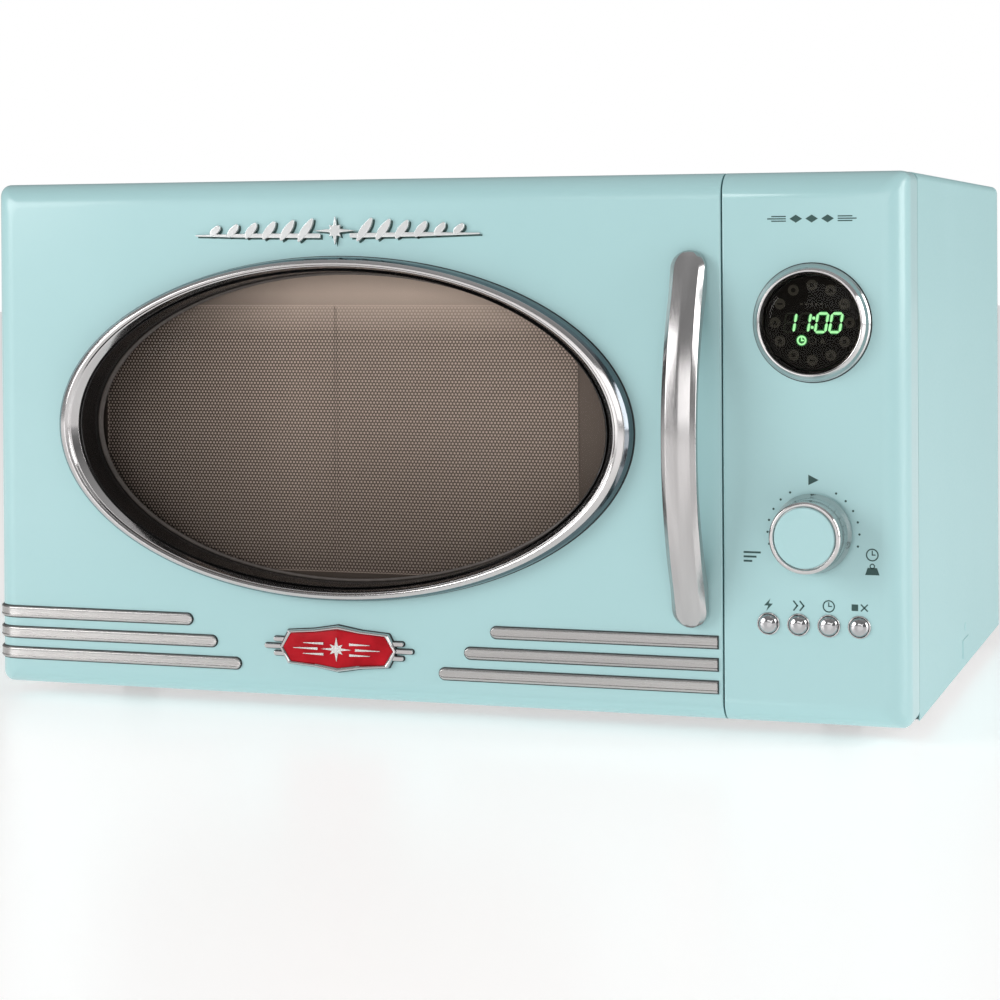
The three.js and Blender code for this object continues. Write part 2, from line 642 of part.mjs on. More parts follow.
// ---- Control panel -----------------------------------------------------------------------------

const KNOB_AT_Z = up(KNOB_Z);
const DISPLAY_AT_Z = TOP - DISPLAY_DROP;
const BUTTON_AT_Z = up(BUTTON_Z);
const buttonX = (i) => CONTROL_X + (i - 1.5) * BUTTON_PITCH;

function controlPanel() {
  const far = RIGHT + 10;
  const outside = frontSlab(0).intersect(
    block(SLIT_X, far, -FRONT_T, FRONT_T + 1, BOTTOM - 5, TOP + 5),
  );
  const hollow = frontSlab(-MOULD_T, FRONT_T + 1).intersect(
    block(SLIT_X + MOULD_T, far, -1, FRONT_T + 1, BOTTOM - 5, TOP + 5),
  );
  const holes = [
    rodY(CONTROL_X, DISPLAY_AT_Z, LENS_R + 2.5 + FIT, -1, MOULD_T + 1, 40),
    rodY(CONTROL_X, KNOB_AT_Z, SHAFT_R + 1 + FIT, -1, MOULD_T + 1, 20),
    ...[0, 1, 2, 3].map((i) => rodY(buttonX(i), BUTTON_AT_Z, BUTTON_R + FIT, -1, MOULD_T + 1, 20)),
  ];
  return cut(outside, hollow, ...holes);
}

function displayBezel() {
  const inner = LENS_R + GAP;
  const sleeve = LENS_R + 2.5;
  const outer = LENS_R + BEZEL_W;
  const crest = [[inner + 2, -BEZEL_PROUD], [inner + 3.4, -BEZEL_PROUD + 0.6]];
  return turnedY(
    [
      [inner, 6], [inner, -BEZEL_PROUD + 2.5], ...crest,
      [outer - 0.5, -2], [outer, -GAP], [sleeve, -GAP], [sleeve, 6],
    ],
    CONTROL_X, DISPLAY_AT_Z, 40,
  );
}

function displayLens() {
  const dome = [[0, -3.6], [LENS_R * 0.7, -3.2], [LENS_R, -2.2]];
  return turnedY([...dome, [LENS_R, 0], [0, 0]], CONTROL_X, DISPLAY_AT_Z, 40);
}

function displayModule() {
  const half = 16;
  return block(
    CONTROL_X - half, CONTROL_X + half, MOULD_T, BOARD_Y - GAP,
    DISPLAY_AT_Z - half + 2, DISPLAY_AT_Z + half - 2,
  );
}

function controlBoard() {
  const x0 = SLIT_X + MOULD_T + 3;
  const x1 = RIGHT - MOULD_T - 3;
  return block(x0, x1, BOARD_Y, BOARD_Y + BOARD_T, up(30), TOP - 30);
}

function encoderBody() {
  const half = ENCODER_W / 2;
  const y0 = BOARD_Y - GAP - ENCODER_D;
  const can = block(
    CONTROL_X - half, CONTROL_X + half, y0, BOARD_Y - GAP, KNOB_AT_Z - half, KNOB_AT_Z + half,
  );
  return cut(can, rodY(CONTROL_X, KNOB_AT_Z, SHAFT_R + 1 + FIT, y0 - 1, BOARD_Y - GAP - 0.6));
}

const PLUNGER_Y1 = BOARD_Y - GAP - 0.6 - KNOB_TRAVEL - GAP;
const PLUNGER_T = 1.6;

function encoderPlunger() {
  return rodY(CONTROL_X, KNOB_AT_Z, SHAFT_R + 1, PLUNGER_Y1 - PLUNGER_T, PLUNGER_Y1);
}

function encoderShaft() {
  return rodY(CONTROL_X, KNOB_AT_Z, SHAFT_R, -KNOB_PROUD + 6, PLUNGER_Y1 - PLUNGER_T - GAP);
}

function knob() {
  const back = -KNOB_TRAVEL - FIT;
  const bore = SHAFT_R + GAP;
  const floor = -KNOB_PROUD + 2.4;
  const profile = [
    [0, floor], [KNOB_CAP_R + GAP, floor], [KNOB_CAP_R + GAP, -KNOB_PROUD],
    [KNOB_FACE_R - 0.8, -KNOB_PROUD], [KNOB_FACE_R, -KNOB_PROUD + 1], [KNOB_FACE_R + 0.2, back - 7],
    [KNOB_R, back - 1], [KNOB_R, back], [bore, back], [bore, -KNOB_PROUD + 6 - GAP],
    [0, -KNOB_PROUD + 6 - GAP],
  ];
  return turnedY(profile, CONTROL_X, KNOB_AT_Z, 40);
}

function knobCap() {
  const y1 = -KNOB_PROUD + 2.4 - GAP;
  return turnedY(
    [
      [0, -KNOB_PROUD - 0.4], [KNOB_CAP_R - 1, -KNOB_PROUD - 0.2],
      [KNOB_CAP_R, -KNOB_PROUD + 0.4], [KNOB_CAP_R, y1], [0, y1],
    ],
    CONTROL_X, KNOB_AT_Z, 40,
  );
}

const SWITCH_Y = BOARD_Y - GAP - 4.3;

function button(i) {
  const collar = MOULD_T + GAP;
  const end = SWITCH_Y - BUTTON_TRAVEL - GAP;
  const profile = [
    [0, -BUTTON_PROUD], [BUTTON_R * 0.6, -BUTTON_PROUD + 0.7], [BUTTON_R, -BUTTON_PROUD + 2.2],
    [BUTTON_R, collar], [BUTTON_R + 1.4, collar], [BUTTON_R + 1.4, collar + 1], [2.2, collar + 1],
    [2.2, end], [0, end],
  ];
  return turnedY(profile, buttonX(i), BUTTON_AT_Z, 20);
}

function buttonSwitches() {
  const x0 = buttonX(0) - 4;
  const x1 = buttonX(3) + 4;
  const base = block(x0, x1, SWITCH_Y + 2, BOARD_Y - GAP, BUTTON_AT_Z - 4, BUTTON_AT_Z + 4);
  const caps = [0, 1, 2, 3].map((i) => rodY(buttonX(i), BUTTON_AT_Z, 2, SWITCH_Y, SWITCH_Y + 3, 12));
  return join(base, ...caps);
}

// ---- Door --------------------------------------------------------------------------------------

const SCREW_Z = [HANDLE_Z1 - HANDLE_SCREW_INSET, HANDLE_Z0 + HANDLE_SCREW_INSET];

// Room for a hinge tab and its lug at one corner of what lies inside the door.
function hingeRelief(tabZ) {
  const lower = [BOTTOM - 5, tabZ + TAB_T + LUG_H + 3];
  const upper = [tabZ - LUG_H - 3, TOP + 5];
  const [z0, z1] = tabZ < RING_Z ? lower : upper;
  return block(LEFT - 5, PIN_X + 20, -1, FRONT_T + 1, z0, z1);
}

function doorPanel() {
  const near = LEFT - 10;
  const outside = frontSlab(0).intersect(
    block(near, DOOR_X1, -FRONT_T, FRONT_T + 1, BOTTOM - 5, TOP + 5),
  );
  const hollow = frontSlab(-MOULD_T, FRONT_T + 1).intersect(
    block(near, DOOR_X1 - MOULD_T, -1, FRONT_T + 1, BOTTOM - 5, TOP + 5),
  );
  const opening = SKIRT_R + RING_SKIRT + 2 * FIT;
  const window = oval([[0, -1], [opening, -1], [opening, MOULD_T + 1], [0, MOULD_T + 1]]);
  const corner = block(near, PIN_X, PIN_Y, FRONT_T + 1, BOTTOM - 5, TOP + 5);
  const swing = rodZ(PIN_X, PIN_Y, PIN_INSET_Y, BOTTOM - 6, TOP + 6, 48);
  const screwHoles = SCREW_Z.map((z) => rodY(HANDLE_X, z, SCREW_R + GAP, -1, MOULD_T + 1, 12));
  const shell = cut(outside, hollow, window, cut(corner, swing), ...screwHoles);
  const lugs = Object.values(TAB_Z).map((tabZ) => {
    const z0 = tabZ < RING_Z ? tabZ + TAB_T + FIT : tabZ - FIT - LUG_H;
    const lug = block(LEFT + 1, PIN_X + 6, PIN_Y - 6, PIN_Y + 5, z0, z0 + LUG_H);
    return cut(lug, rodZ(PIN_X, PIN_Y, PIN_R + GAP, z0 - 1, z0 + LUG_H + 1, 16));
  });
  const tabSlots = Object.values(TAB_Z).map((tabZ) =>
    block(LEFT - 1, LEFT + MOULD_T + 3, PIN_Y - 7, FRONT_T + 1, tabZ - FIT, tabZ + TAB_T + FIT),
  );
  return cut(join(shell, ...lugs), ...tabSlots);
}

function windowRing() {
  const outer = RING_A;
  const inner = SKIRT_R;
  const skirt = inner + RING_SKIRT;
  const crest = outer - 0.55 * RING_W;
  return oval([
    [outer, -GAP], [outer - 0.8, -2.2], [outer - 3.5, -0.72 * RING_PROUD], [crest, -RING_PROUD],
    [crest - 2.6, -RING_PROUD + 0.2], [inner, -RING_PROUD + 1.8], [inner, 5], [skirt, 5], [skirt, -GAP],
  ]);
}

function windowRecess() {
  const lip = SKIRT_R - 2 * GAP;
  const back = RECESS_DEPTH;
  const wall = lip - RECESS_TAPER;
  const flange = wall - FLANGE_W;
  return oval([
    [lip - 0.8, -RING_PROUD + 3], [wall, back - 5.5], [flange, back - 1.5], [flange, back],
    [GLASS_R, back], [GLASS_R, 5.6], [lip, 5.6], [lip, -RING_PROUD + 3],
  ]);
}

function windowGlass() {
  const y0 = RECESS_DEPTH + GAP;
  return oval([[0, y0], [GLASS_R, y0], [GLASS_R, y0 + GLASS_T], [0, y0 + GLASS_T]]);
}

const SCREEN_Y = RECESS_DEPTH + GAP + GLASS_T + GAP;

function doorScreen() {
  const x0 = PIN_X + 3;
  const z0 = BOTTOM + MOULD_T + 5;
  const z1 = TOP - MOULD_T - 5;
  const back = FRONT_T - CHOKE_T;
  const plate = block(x0, SCREEN_X1, SCREEN_Y, SCREEN_Y + 1, z0, z1);
  const wall = cut(
    block(x0, SCREEN_X1, SCREEN_Y, back, z0, z1),
    block(x0 + PAN_T, SCREEN_X1 - PAN_T, SCREEN_Y - 1, back + 1, z0 + PAN_T, z1 - PAN_T),
  );
  const a = PAN_STEP;
  const b = PAN_STEP + PAN_T;
  const inner = cut(
    block(x0 + a, SCREEN_X1 - a, SCREEN_Y, back, z0 + a, z1 - a),
    block(x0 + b, SCREEN_X1 - b, SCREEN_Y - 1, back + 1, z0 + b, z1 - b),
  );
  return cut(join(plate, wall, inner), ...Object.values(TAB_Z).map(hingeRelief));
}

function chokeCover() {
  const y0 = FRONT_T - CHOKE_T + GAP;
  const x0 = PIN_X - 2;
  const x1 = DOOR_X1 - MOULD_T - GAP;
  const z0 = BOTTOM + MOULD_T + GAP;
  const z1 = TOP - MOULD_T - GAP;
  const frame = cut(
    block(x0, x1, y0, FRONT_T - 0.3, z0, z1),
    block(
      PIN_X + PAN_STEP + 4, SCREEN_X1 - PAN_STEP - 1, y0 - 1, FRONT_T + 1,
      z0 + COVER_FRAME, z1 - COVER_FRAME,
    ),
  );
  const hookSlots = HOOK_Z.map((z) =>
    block(
      LATCH_X - 1.5, LATCH_X + LATCH_T + 1.5, y0 - 1, FRONT_T + 1,
      z - HOOK_H / 2 - HOOK_NOSE - FIT, z + HOOK_H / 2 + LATCH_TRAVEL + FIT,
    ),
  );
  return cut(frame, ...hookSlots, ...Object.values(TAB_Z).map(hingeRelief));
}

// One hooked plate: it lifts to let the hooks go.
function latchSlide() {
  const y1 = FRONT_T - CHOKE_T - 0.4;
  const y0 = y1 - LATCH_D;
  const tip = FRONT_T + HOOK_REACH;
  const z0 = HOOK_Z[0] - HOOK_H / 2 - 6;
  const z1 = HOOK_Z[1] + HOOK_H / 2 + 6;
  const plate = block(LATCH_X, LATCH_X + LATCH_T, y0, y1, z0, z1);
  const hooks = HOOK_Z.map((z) => {
    const low = z - HOOK_H / 2;
    const high = z + HOOK_H / 2;
    const side = polygon([
      [y0 + 2, low], [tip - 6, low], [tip - 6, low - HOOK_NOSE], [tip - 4, low - HOOK_NOSE],
      [tip, high - 4], [tip - 2, high], [y0 + 2, high],
    ]);
    return prismX(side, LATCH_X, LATCH_X + LATCH_T);
  });
  return join(plate, ...hooks);
}

function latchBoard() {
  const y0 = CASE_Y0 + LINER_T + GAP;
  const tip = FRONT_T + HOOK_REACH;
  const back = tip + SWITCH_ROOM;
  const x1 = LATCH_X + LATCH_T + 9;
  const z0 = HOOK_Z[0] - BRACKET_OVER;
  const z1 = HOOK_Z[1] + BRACKET_OVER;
  const wall = block(x1, x1 + BRACKET_T, y0, back + BRACKET_T, z0, z1);
  const plate = block(LATCH_X - 8, x1 + BRACKET_T, back, back + BRACKET_T, z0, z1);
  const switches = HOOK_Z.map((z) =>
    block(LATCH_X - 4, LATCH_X + LATCH_T + 4, tip + 1, back + 1, z - 10, z + 10),
  );
  return join(wall, plate, ...switches);
}

// A tab through the oven's front flange, with the pin that the door turns on.
function hinge(place) {
  const z0 = TAB_Z[place];
  const upwards = place === "lower";
  const y1 = CASE_Y0 + LINER_T + 8;
  const outline = new THREE.Shape();
  outline.moveTo(PIN_X + TAB_R, y1);
  outline.lineTo(PIN_X - TAB_R + 1, y1);
  outline.lineTo(PIN_X - TAB_R + 1, PIN_Y + 3);
  outline.absarc(PIN_X, PIN_Y, TAB_R, Math.PI - Math.asin(3 / TAB_R), 2 * Math.PI);
  outline.lineTo(PIN_X + TAB_R, y1);
  const tab = prismZ(outline, z0, z0 + TAB_T);
  const [pin0, pin1] = upwards ? [z0 + 1, z0 + TAB_T + LUG_H - 1] : [z0 - LUG_H + 1, z0 + 1];
  const pin = rodZ(PIN_X, PIN_Y, PIN_R, pin0, pin1, 16);
  const legY = CASE_Y0 + LINER_T + GAP;
  const [leg0, leg1] = upwards ? [z0, z0 + LEG_H] : [z0 + TAB_T - LEG_H, z0 + TAB_T];
  const leg = block(PIN_X - TAB_R + 1, PIN_X + 12, legY, legY + LEG_T, leg0, leg1);
  return join(tab, pin, leg);
}

// ---- Handle and trim ---------------------------------------------------------------------------

// An arc in Y and Z through both ends (0, +-half) bowed out to -rise, added to the shape.
function bow(shape, zMid, half, base, rise, upward) {
  const radius = (half * half + rise * rise) / (2 * rise);
  const centre = base - rise + radius;
  const angle = Math.asin(half / radius);
  const [a0, a1] = upward ? [Math.PI + angle, Math.PI - angle] : [Math.PI - angle, Math.PI + angle];
  shape.absarc(centre, zMid, radius, a0, a1, upward);
}

function handle() {
  const zMid = (HANDLE_Z0 + HANDLE_Z1) / 2;
  const half = (HANDLE_Z1 - HANDLE_Z0) / 2;
  const side = new THREE.Shape();
  side.moveTo(-GAP, HANDLE_Z0);
  side.lineTo(-HANDLE_END_T, HANDLE_Z0);
  bow(side, zMid, half, -HANDLE_END_T, HANDLE_REACH - HANDLE_END_T, true);
  side.lineTo(-GAP, HANDLE_Z1);
  side.lineTo(-GAP, HANDLE_Z1 - HANDLE_PAD);
  bow(side, zMid, half - HANDLE_PAD, -GAP, HANDLE_REACH - HANDLE_T - GAP, false);
  side.lineTo(-GAP, HANDLE_Z0);
  const x0 = HANDLE_X - HANDLE_W / 2;
  const x1 = HANDLE_X + HANDLE_W / 2;
  const front = roundedRect(x0, x1, HANDLE_Z0, HANDLE_Z1, HANDLE_W / 2 - 0.1);
  const bar = prismX(side, x0 - 1, x1 + 1, 14).intersect(prismY(front, -HANDLE_REACH - 1, 1, 8));
  const holes = SCREW_Z.map((z) => rodY(HANDLE_X, z, SCREW_R + GAP, -4.2, 1, 12));
  return cut(bar, ...holes);
}

function handleScrew(z) {
  const y0 = MOULD_T + GAP;
  const y1 = y0 + SCREW_HEAD_T;
  return turnedY(
    [[0, -3.8], [SCREW_R, -3.4], [SCREW_R, y0], [SCREW_HEAD_R, y0], [SCREW_HEAD_R, y1], [0, y1]],
    HANDLE_X, z, 16,
  );
}

// A strip between the door's skin and the same skin grown by the strip's thickness.
function strip(row, side) {
  const z = up(STRIP_HEIGHTS[row]);
  const r = STRIP_H / 2;
  const end = RING_X + side * STRIP_REACH[row];
  const far = side < 0 ? LEFT - 5 : DOOR_X1 - STRIP_EDGE;
  const outline = new THREE.Shape();
  outline.moveTo(far, z + side * r);
  outline.lineTo(end + side * r, z + side * r);
  const start = (side * Math.PI) / 2;
  outline.absarc(end + side * r, z, r, start, start + Math.PI);
  outline.lineTo(far, z - side * r);
  const band = prismY(outline, -5, side < 0 ? STRIP_WRAP : 5);
  return cut(band.intersect(frontSlab(STRIP_PROUD)), frontSlab(GAP));
}

function plaque(grow) {
  const w = BADGE_W / 2 + grow;
  const h = BADGE_H / 2 + grow;
  const z = up(BADGE_Z);
  const points = [[w, 0], [0.86 * w, 0.72 * h], [0.4 * w, 0.82 * h], [0, h]];
  const topHalf = [...points, ...points.slice(0, 3).reverse().map(([a, b]) => [-a, b])];
  const bottomHalf = topHalf.slice(1, -1).reverse().map(([a, b]) => [a, -b]);
  return polygon([...topHalf, ...bottomHalf].map(([a, b]) => [RING_X + a, z + b]));
}

function badgeSurround() {
  const plate = prismY(plaque(0), -BADGE_PROUD, -GAP);
  const bars = [1, 0, -1].map((row, i) => {
    const z = up(BADGE_Z) + row * BADGE_BAR_PITCH;
    const reach = BADGE_BAR_REACH[i];
    const h = BADGE_BAR_H / 2;
    return prismY(roundedRect(RING_X - reach, RING_X + reach, z - h, z + h, h - 0.05), -2, -GAP, 4);
  });
  const pocket = prismY(plaque(-BADGE_RIM + GAP), -BADGE_PROUD - 1, -1.4);
  return cut(join(plate, ...bars), pocket);
}

function badgeInsert() {
  return prismY(plaque(-BADGE_RIM), -BADGE_PROUD - 0.8, -1.4 - GAP);
}

function emblem() {
  const z = TOP - EMBLEM_DROP;
  const w = EMBLEM_W / 2;
  const line = polygon([
    [RING_X - w, z - 0.6], [RING_X, z - 2], [RING_X + w, z - 0.6],
    [RING_X + w, z + 0.6], [RING_X, z + 2], [RING_X - w, z + 0.6],
  ]);
  const h = EMBLEM_H / 2;
  const gem = polygon([[RING_X - 12, z], [RING_X, z - h], [RING_X + 12, z], [RING_X, z + h]]);
  return join(prismY(line, -EMBLEM_T, -GAP), prismY(gem, -EMBLEM_T - 0.6, -GAP));
}

// ---- Nodes -------------------------------------------------------------------------------------

addNode("cabinet_wrap", cabinetWrap(), "enamel");
addNode("base_plate", basePlate(), "steel");
addNode("back_panel", backPanel(), "steel");
addNode("cord_gland", cordGland(), "rubber");
addNode("foot_front_left", foot(LEFT + FOOT_INSET_X, FOOT_INSET_FRONT), "rubber");
addNode("foot_front_right", foot(RIGHT - FOOT_INSET_X, FOOT_INSET_FRONT), "rubber");
addNode("foot_back_left", foot(LEFT + FOOT_INSET_X, BODY_D - FOOT_INSET_BACK), "rubber");
addNode("foot_back_right", foot(RIGHT - FOOT_INSET_X, BODY_D - FOOT_INSET_BACK), "rubber");

addNode("oven_cavity", ovenCavity(), "liner");
addNode("waveguide_cover", waveguideCover(), "mica");
addNode("cavity_lamp", cavityLamp(), "glass");
addNode("turntable_motor", turntableMotor(), "steel");
addNode("turntable_coupler", turntableCoupler(), "whitePlastic");
addNode("roller_ring", rollerRing(), "whitePlastic");
for (let i = 0; i < 3; i += 1) addNode(`roller_${i + 1}`, roller(i), "whitePlastic");
addNode("glass_tray", glassTray(), "glass");

addNode("magnetron", magnetron(), "steel");
addNode("transformer", transformer(), "copper");
addNode("capacitor", capacitor(), "steel");
addNode("fan_motor", fanMotor(), "steel");
addNode("fan_blade", fanBlade(), "darkPlastic");

addNode("control_panel", controlPanel(), "enamel");
addNode("display_bezel", displayBezel(), "chrome");
addNode("display_lens", displayLens(), "display");
addNode("display_module", displayModule(), "darkPlastic");
addNode("control_board", controlBoard(), "board");
addNode("encoder_body", encoderBody(), "steel");
addNode("encoder_plunger", encoderPlunger(), "darkPlastic");
addNode("encoder_shaft", encoderShaft(), "steel");
addNode("knob", knob(), "chrome");
addNode("knob_cap", knobCap(), "enamel");
for (let i = 0; i < 4; i += 1) addNode(`button_${i + 1}`, button(i), "chrome");
addNode("button_switches", buttonSwitches(), "darkPlastic");

addNode("door_panel", doorPanel(), "enamel");
addNode("window_ring", windowRing(), "chrome");
addNode("window_recess", windowRecess(), "darkPlastic");
addNode("window_glass", windowGlass(), "glass");
addNode("door_screen", doorScreen(), "screen");
addNode("choke_cover", chokeCover(), "darkPlastic");
addNode("handle", handle(), "chrome");
addNode("handle_screw_upper", handleScrew(SCREW_Z[0]), "steel");
addNode("handle_screw_lower", handleScrew(SCREW_Z[1]), "steel");
["upper", "middle", "lower"].forEach((level, row) => {
  addNode(`strip_left_${level}`, strip(row, -1), "satin");
  addNode(`strip_right_${level}`, strip(row, 1), "satin");
});
addNode("badge_surround", badgeSurround(), "chrome");
addNode("badge_insert", badgeInsert(), "red");
addNode("emblem", emblem(), "chrome");
addNode("latch_slide", latchSlide(), "whitePlastic");
addNode("latch_board", latchBoard(), "whitePlastic");
addNode("hinge_upper", hinge("upper"), "steel");
addNode("hinge_lower", hinge("lower"), "steel");

const bounds = new THREE.Box3().setFromObject(oven, true);
const middle = bounds.getCenter(new THREE.Vector3());
oven.position.set(-middle.x, -middle.y, -bounds.min.z);

export default oven;
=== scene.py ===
"""Retro countertop microwave oven: the visible pieces, finishes, lights and camera."""

import json
import math

import bmesh
import bpy
from mathutils import Matrix, Vector


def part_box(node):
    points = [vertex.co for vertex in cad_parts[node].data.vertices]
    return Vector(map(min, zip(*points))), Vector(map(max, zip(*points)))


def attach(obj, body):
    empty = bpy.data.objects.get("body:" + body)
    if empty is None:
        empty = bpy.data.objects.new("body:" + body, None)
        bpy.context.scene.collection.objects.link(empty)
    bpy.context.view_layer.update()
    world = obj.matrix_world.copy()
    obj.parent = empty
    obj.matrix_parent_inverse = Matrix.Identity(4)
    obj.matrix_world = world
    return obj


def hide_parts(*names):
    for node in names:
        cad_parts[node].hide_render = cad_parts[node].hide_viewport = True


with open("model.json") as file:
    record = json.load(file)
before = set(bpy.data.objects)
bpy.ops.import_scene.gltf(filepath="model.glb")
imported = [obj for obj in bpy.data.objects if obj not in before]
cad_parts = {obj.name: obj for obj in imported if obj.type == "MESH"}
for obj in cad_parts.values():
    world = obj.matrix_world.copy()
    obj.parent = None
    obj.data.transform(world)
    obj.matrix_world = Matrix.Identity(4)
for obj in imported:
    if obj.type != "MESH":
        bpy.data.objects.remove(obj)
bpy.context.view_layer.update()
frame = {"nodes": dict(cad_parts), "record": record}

MM = 0.001
scene = bpy.context.scene

# ---- Camera, floor and light -------------------------------------------------------------------

CAMERA_PLACE = (0.4205, -1.3134, 0.2360)
CAMERA_YAW = math.radians(18.22)
CAMERA_PITCH = math.radians(-0.62)
CAMERA_ROLL = math.radians(-0.37)
CAMERA_LENS = 88.46
CAMERA_SHIFT_Y = -0.222


def place_camera():
    ahead = Vector(
        (
            -math.sin(CAMERA_YAW) * math.cos(CAMERA_PITCH),
            math.cos(CAMERA_YAW) * math.cos(CAMERA_PITCH),
            math.sin(CAMERA_PITCH),
        )
    )
    side = Vector((math.cos(CAMERA_YAW), math.sin(CAMERA_YAW), 0))
    above = side.cross(ahead)
    side_rolled = math.cos(CAMERA_ROLL) * side + math.sin(CAMERA_ROLL) * above
    above_rolled = math.cos(CAMERA_ROLL) * above - math.sin(CAMERA_ROLL) * side
    data = bpy.data.cameras.new("camera")
    data.lens = CAMERA_LENS
    data.sensor_width = 36
    data.shift_y = CAMERA_SHIFT_Y
    data.clip_start = 0.02
    data.clip_end = 100
    camera = bpy.data.objects.new("camera", data)
    scene.collection.objects.link(camera)
    turn = Matrix((side_rolled, above_rolled, -ahead)).transposed().to_4x4()
    camera.matrix_world = Matrix.Translation(CAMERA_PLACE) @ turn
    scene.camera = camera


place_camera()


def new_node(nodes, kind, **sockets):
    """A shader node with its sockets set by name, an underscore standing for a space."""
    node = nodes.new(kind)
    set_sockets(node, sockets)
    return node


def set_sockets(node, sockets):
    for label, value in sockets.items():
        node.inputs[label.replace("_", " ")].default_value = value


def wire(links, *runs):
    """Links nodes; each run is (from node, its output, to node, its input)."""
    for source, output, target, socket in runs:
        links.new(source.outputs[output], target.inputs[socket])


def new_material(name):
    material = bpy.data.materials.new(name)
    material.use_nodes = True
    return material, material.node_tree.nodes, material.node_tree.links


def grey_ramp(nodes, stops):
    """A ramp through (place, grey) stops."""
    ramp = nodes.new("ShaderNodeValToRGB")
    run = ramp.color_ramp.elements
    while len(run) < len(stops):
        run.new(0.5)
    for element, (place, grey) in zip(run, stops):
        element.position = place
        element.color = (grey, grey, grey, 1)
    return ramp


WARM_WHITE = (1.0, 0.985, 0.98)
SOFTBOXES = (  # name, place, aim, width, height, watts
    ("softbox_left", (-2.2, -2.2, 1.0), (0, 0, 0.15), 1.8, 1.5, 44),
    ("softbox_front", (0.6, -3.0, 0.75), (0, 0, 0.12), 2.2, 1.1, 14),
    ("softbox_right", (2.7, -0.1, 0.9), (0, 0, 0.14), 1.4, 1.6, 34),
)
ROOM_STRENGTH = 0.60
ROOM_GREYS = (  # from straight down at 0 to straight up at 1, with a darker band above the horizon
    (0.0, 0.80), (0.47, 0.80), (0.505, 0.74), (0.56, 0.42), (0.64, 0.30), (0.78, 0.52), (1.0, 0.80),
)


def light_room():
    for name, place, aim, width, height, watts in SOFTBOXES:
        data = bpy.data.lights.new(name, "AREA")
        data.shape = "RECTANGLE"
        data.size = width
        data.size_y = height
        data.energy = watts
        data.color = WARM_WHITE
        lamp = bpy.data.objects.new(name, data)
        scene.collection.objects.link(lamp)
        lamp.location = place
        lamp.rotation_euler = (Vector(aim) - Vector(place)).to_track_quat("-Z", "Y").to_euler()
    world = bpy.data.worlds.new("studio")
    scene.world = world
    world.use_nodes = True
    nodes = world.node_tree.nodes
    nodes.clear()
    out = nodes.new("ShaderNodeOutputWorld")
    mix = nodes.new("ShaderNodeMixShader")
    seen = new_node(nodes, "ShaderNodeBackground", Color=(1, 1, 1, 1), Strength=1.0)
    room = new_node(nodes, "ShaderNodeBackground", Strength=ROOM_STRENGTH)
    where = nodes.new("ShaderNodeTexCoord")
    parts = nodes.new("ShaderNodeSeparateXYZ")
    ramp = grey_ramp(nodes, ROOM_GREYS)
    span = new_node(nodes, "ShaderNodeMapRange", From_Min=-1)
    path = nodes.new("ShaderNodeLightPath")
    wire(
        world.node_tree.links,
        (where, "Generated", parts, 0), (parts, "Z", span, "Value"), (span, 0, ramp, "Fac"),
        (ramp, "Color", room, "Color"), (path, "Is Camera Ray", mix, 0), (room, 0, mix, 1),
        (seen, 0, mix, 2), (mix, 0, out, 0),
    )
    scene.view_settings.view_transform = "Standard"
    scene.view_settings.look = "None"


light_room()


# ---- Finishes ----------------------------------------------------------------------------------

RELIEF_DEPTH = 0.0006


def ramp_between(nodes, low, high):
    ramp = nodes.new("ShaderNodeValToRGB")
    for element, place, colour in zip(ramp.color_ramp.elements, (0.35, 0.65), (low, high)):
        element.position = place
        element.color = (*colour, 1)
    return ramp


def surface(name, low, high, patch=9, grain=700, rough=(0.3, 0.36), bump=0.02, stretch=(1, 1, 1),
            metallic=0.0, coat=0.0, coat_rough=0.1, **sockets):
    """A finish whose colour drifts between two near shades, with fine grain in gloss and relief."""
    material, nodes, links = new_material(name)
    shader = nodes["Principled BSDF"]
    where = nodes.new("ShaderNodeTexCoord")
    turn = new_node(nodes, "ShaderNodeMapping", Scale=stretch)
    drift = new_node(nodes, "ShaderNodeTexNoise", Scale=patch, Detail=3)
    fine = new_node(nodes, "ShaderNodeTexNoise", Scale=grain, Detail=4)
    tint = ramp_between(nodes, low, high)
    gloss = new_node(
        nodes, "ShaderNodeMapRange", From_Min=0.3, From_Max=0.7, To_Min=rough[0], To_Max=rough[1]
    )
    relief = new_node(nodes, "ShaderNodeBump", Strength=bump, Distance=RELIEF_DEPTH)
    wire(
        links,
        (where, "Object", turn, "Vector"), (turn, 0, drift, "Vector"), (turn, 0, fine, "Vector"),
        (drift, 0, tint, "Fac"), (tint, "Color", shader, "Base Color"), (fine, 0, gloss, "Value"),
        (gloss, 0, shader, "Roughness"), (fine, 0, relief, "Height"), (relief, 0, shader, "Normal"),
    )
    set_sockets(shader, {"Metallic": metallic, "Coat Weight": coat, "Coat Roughness": coat_rough, **sockets})
    return material


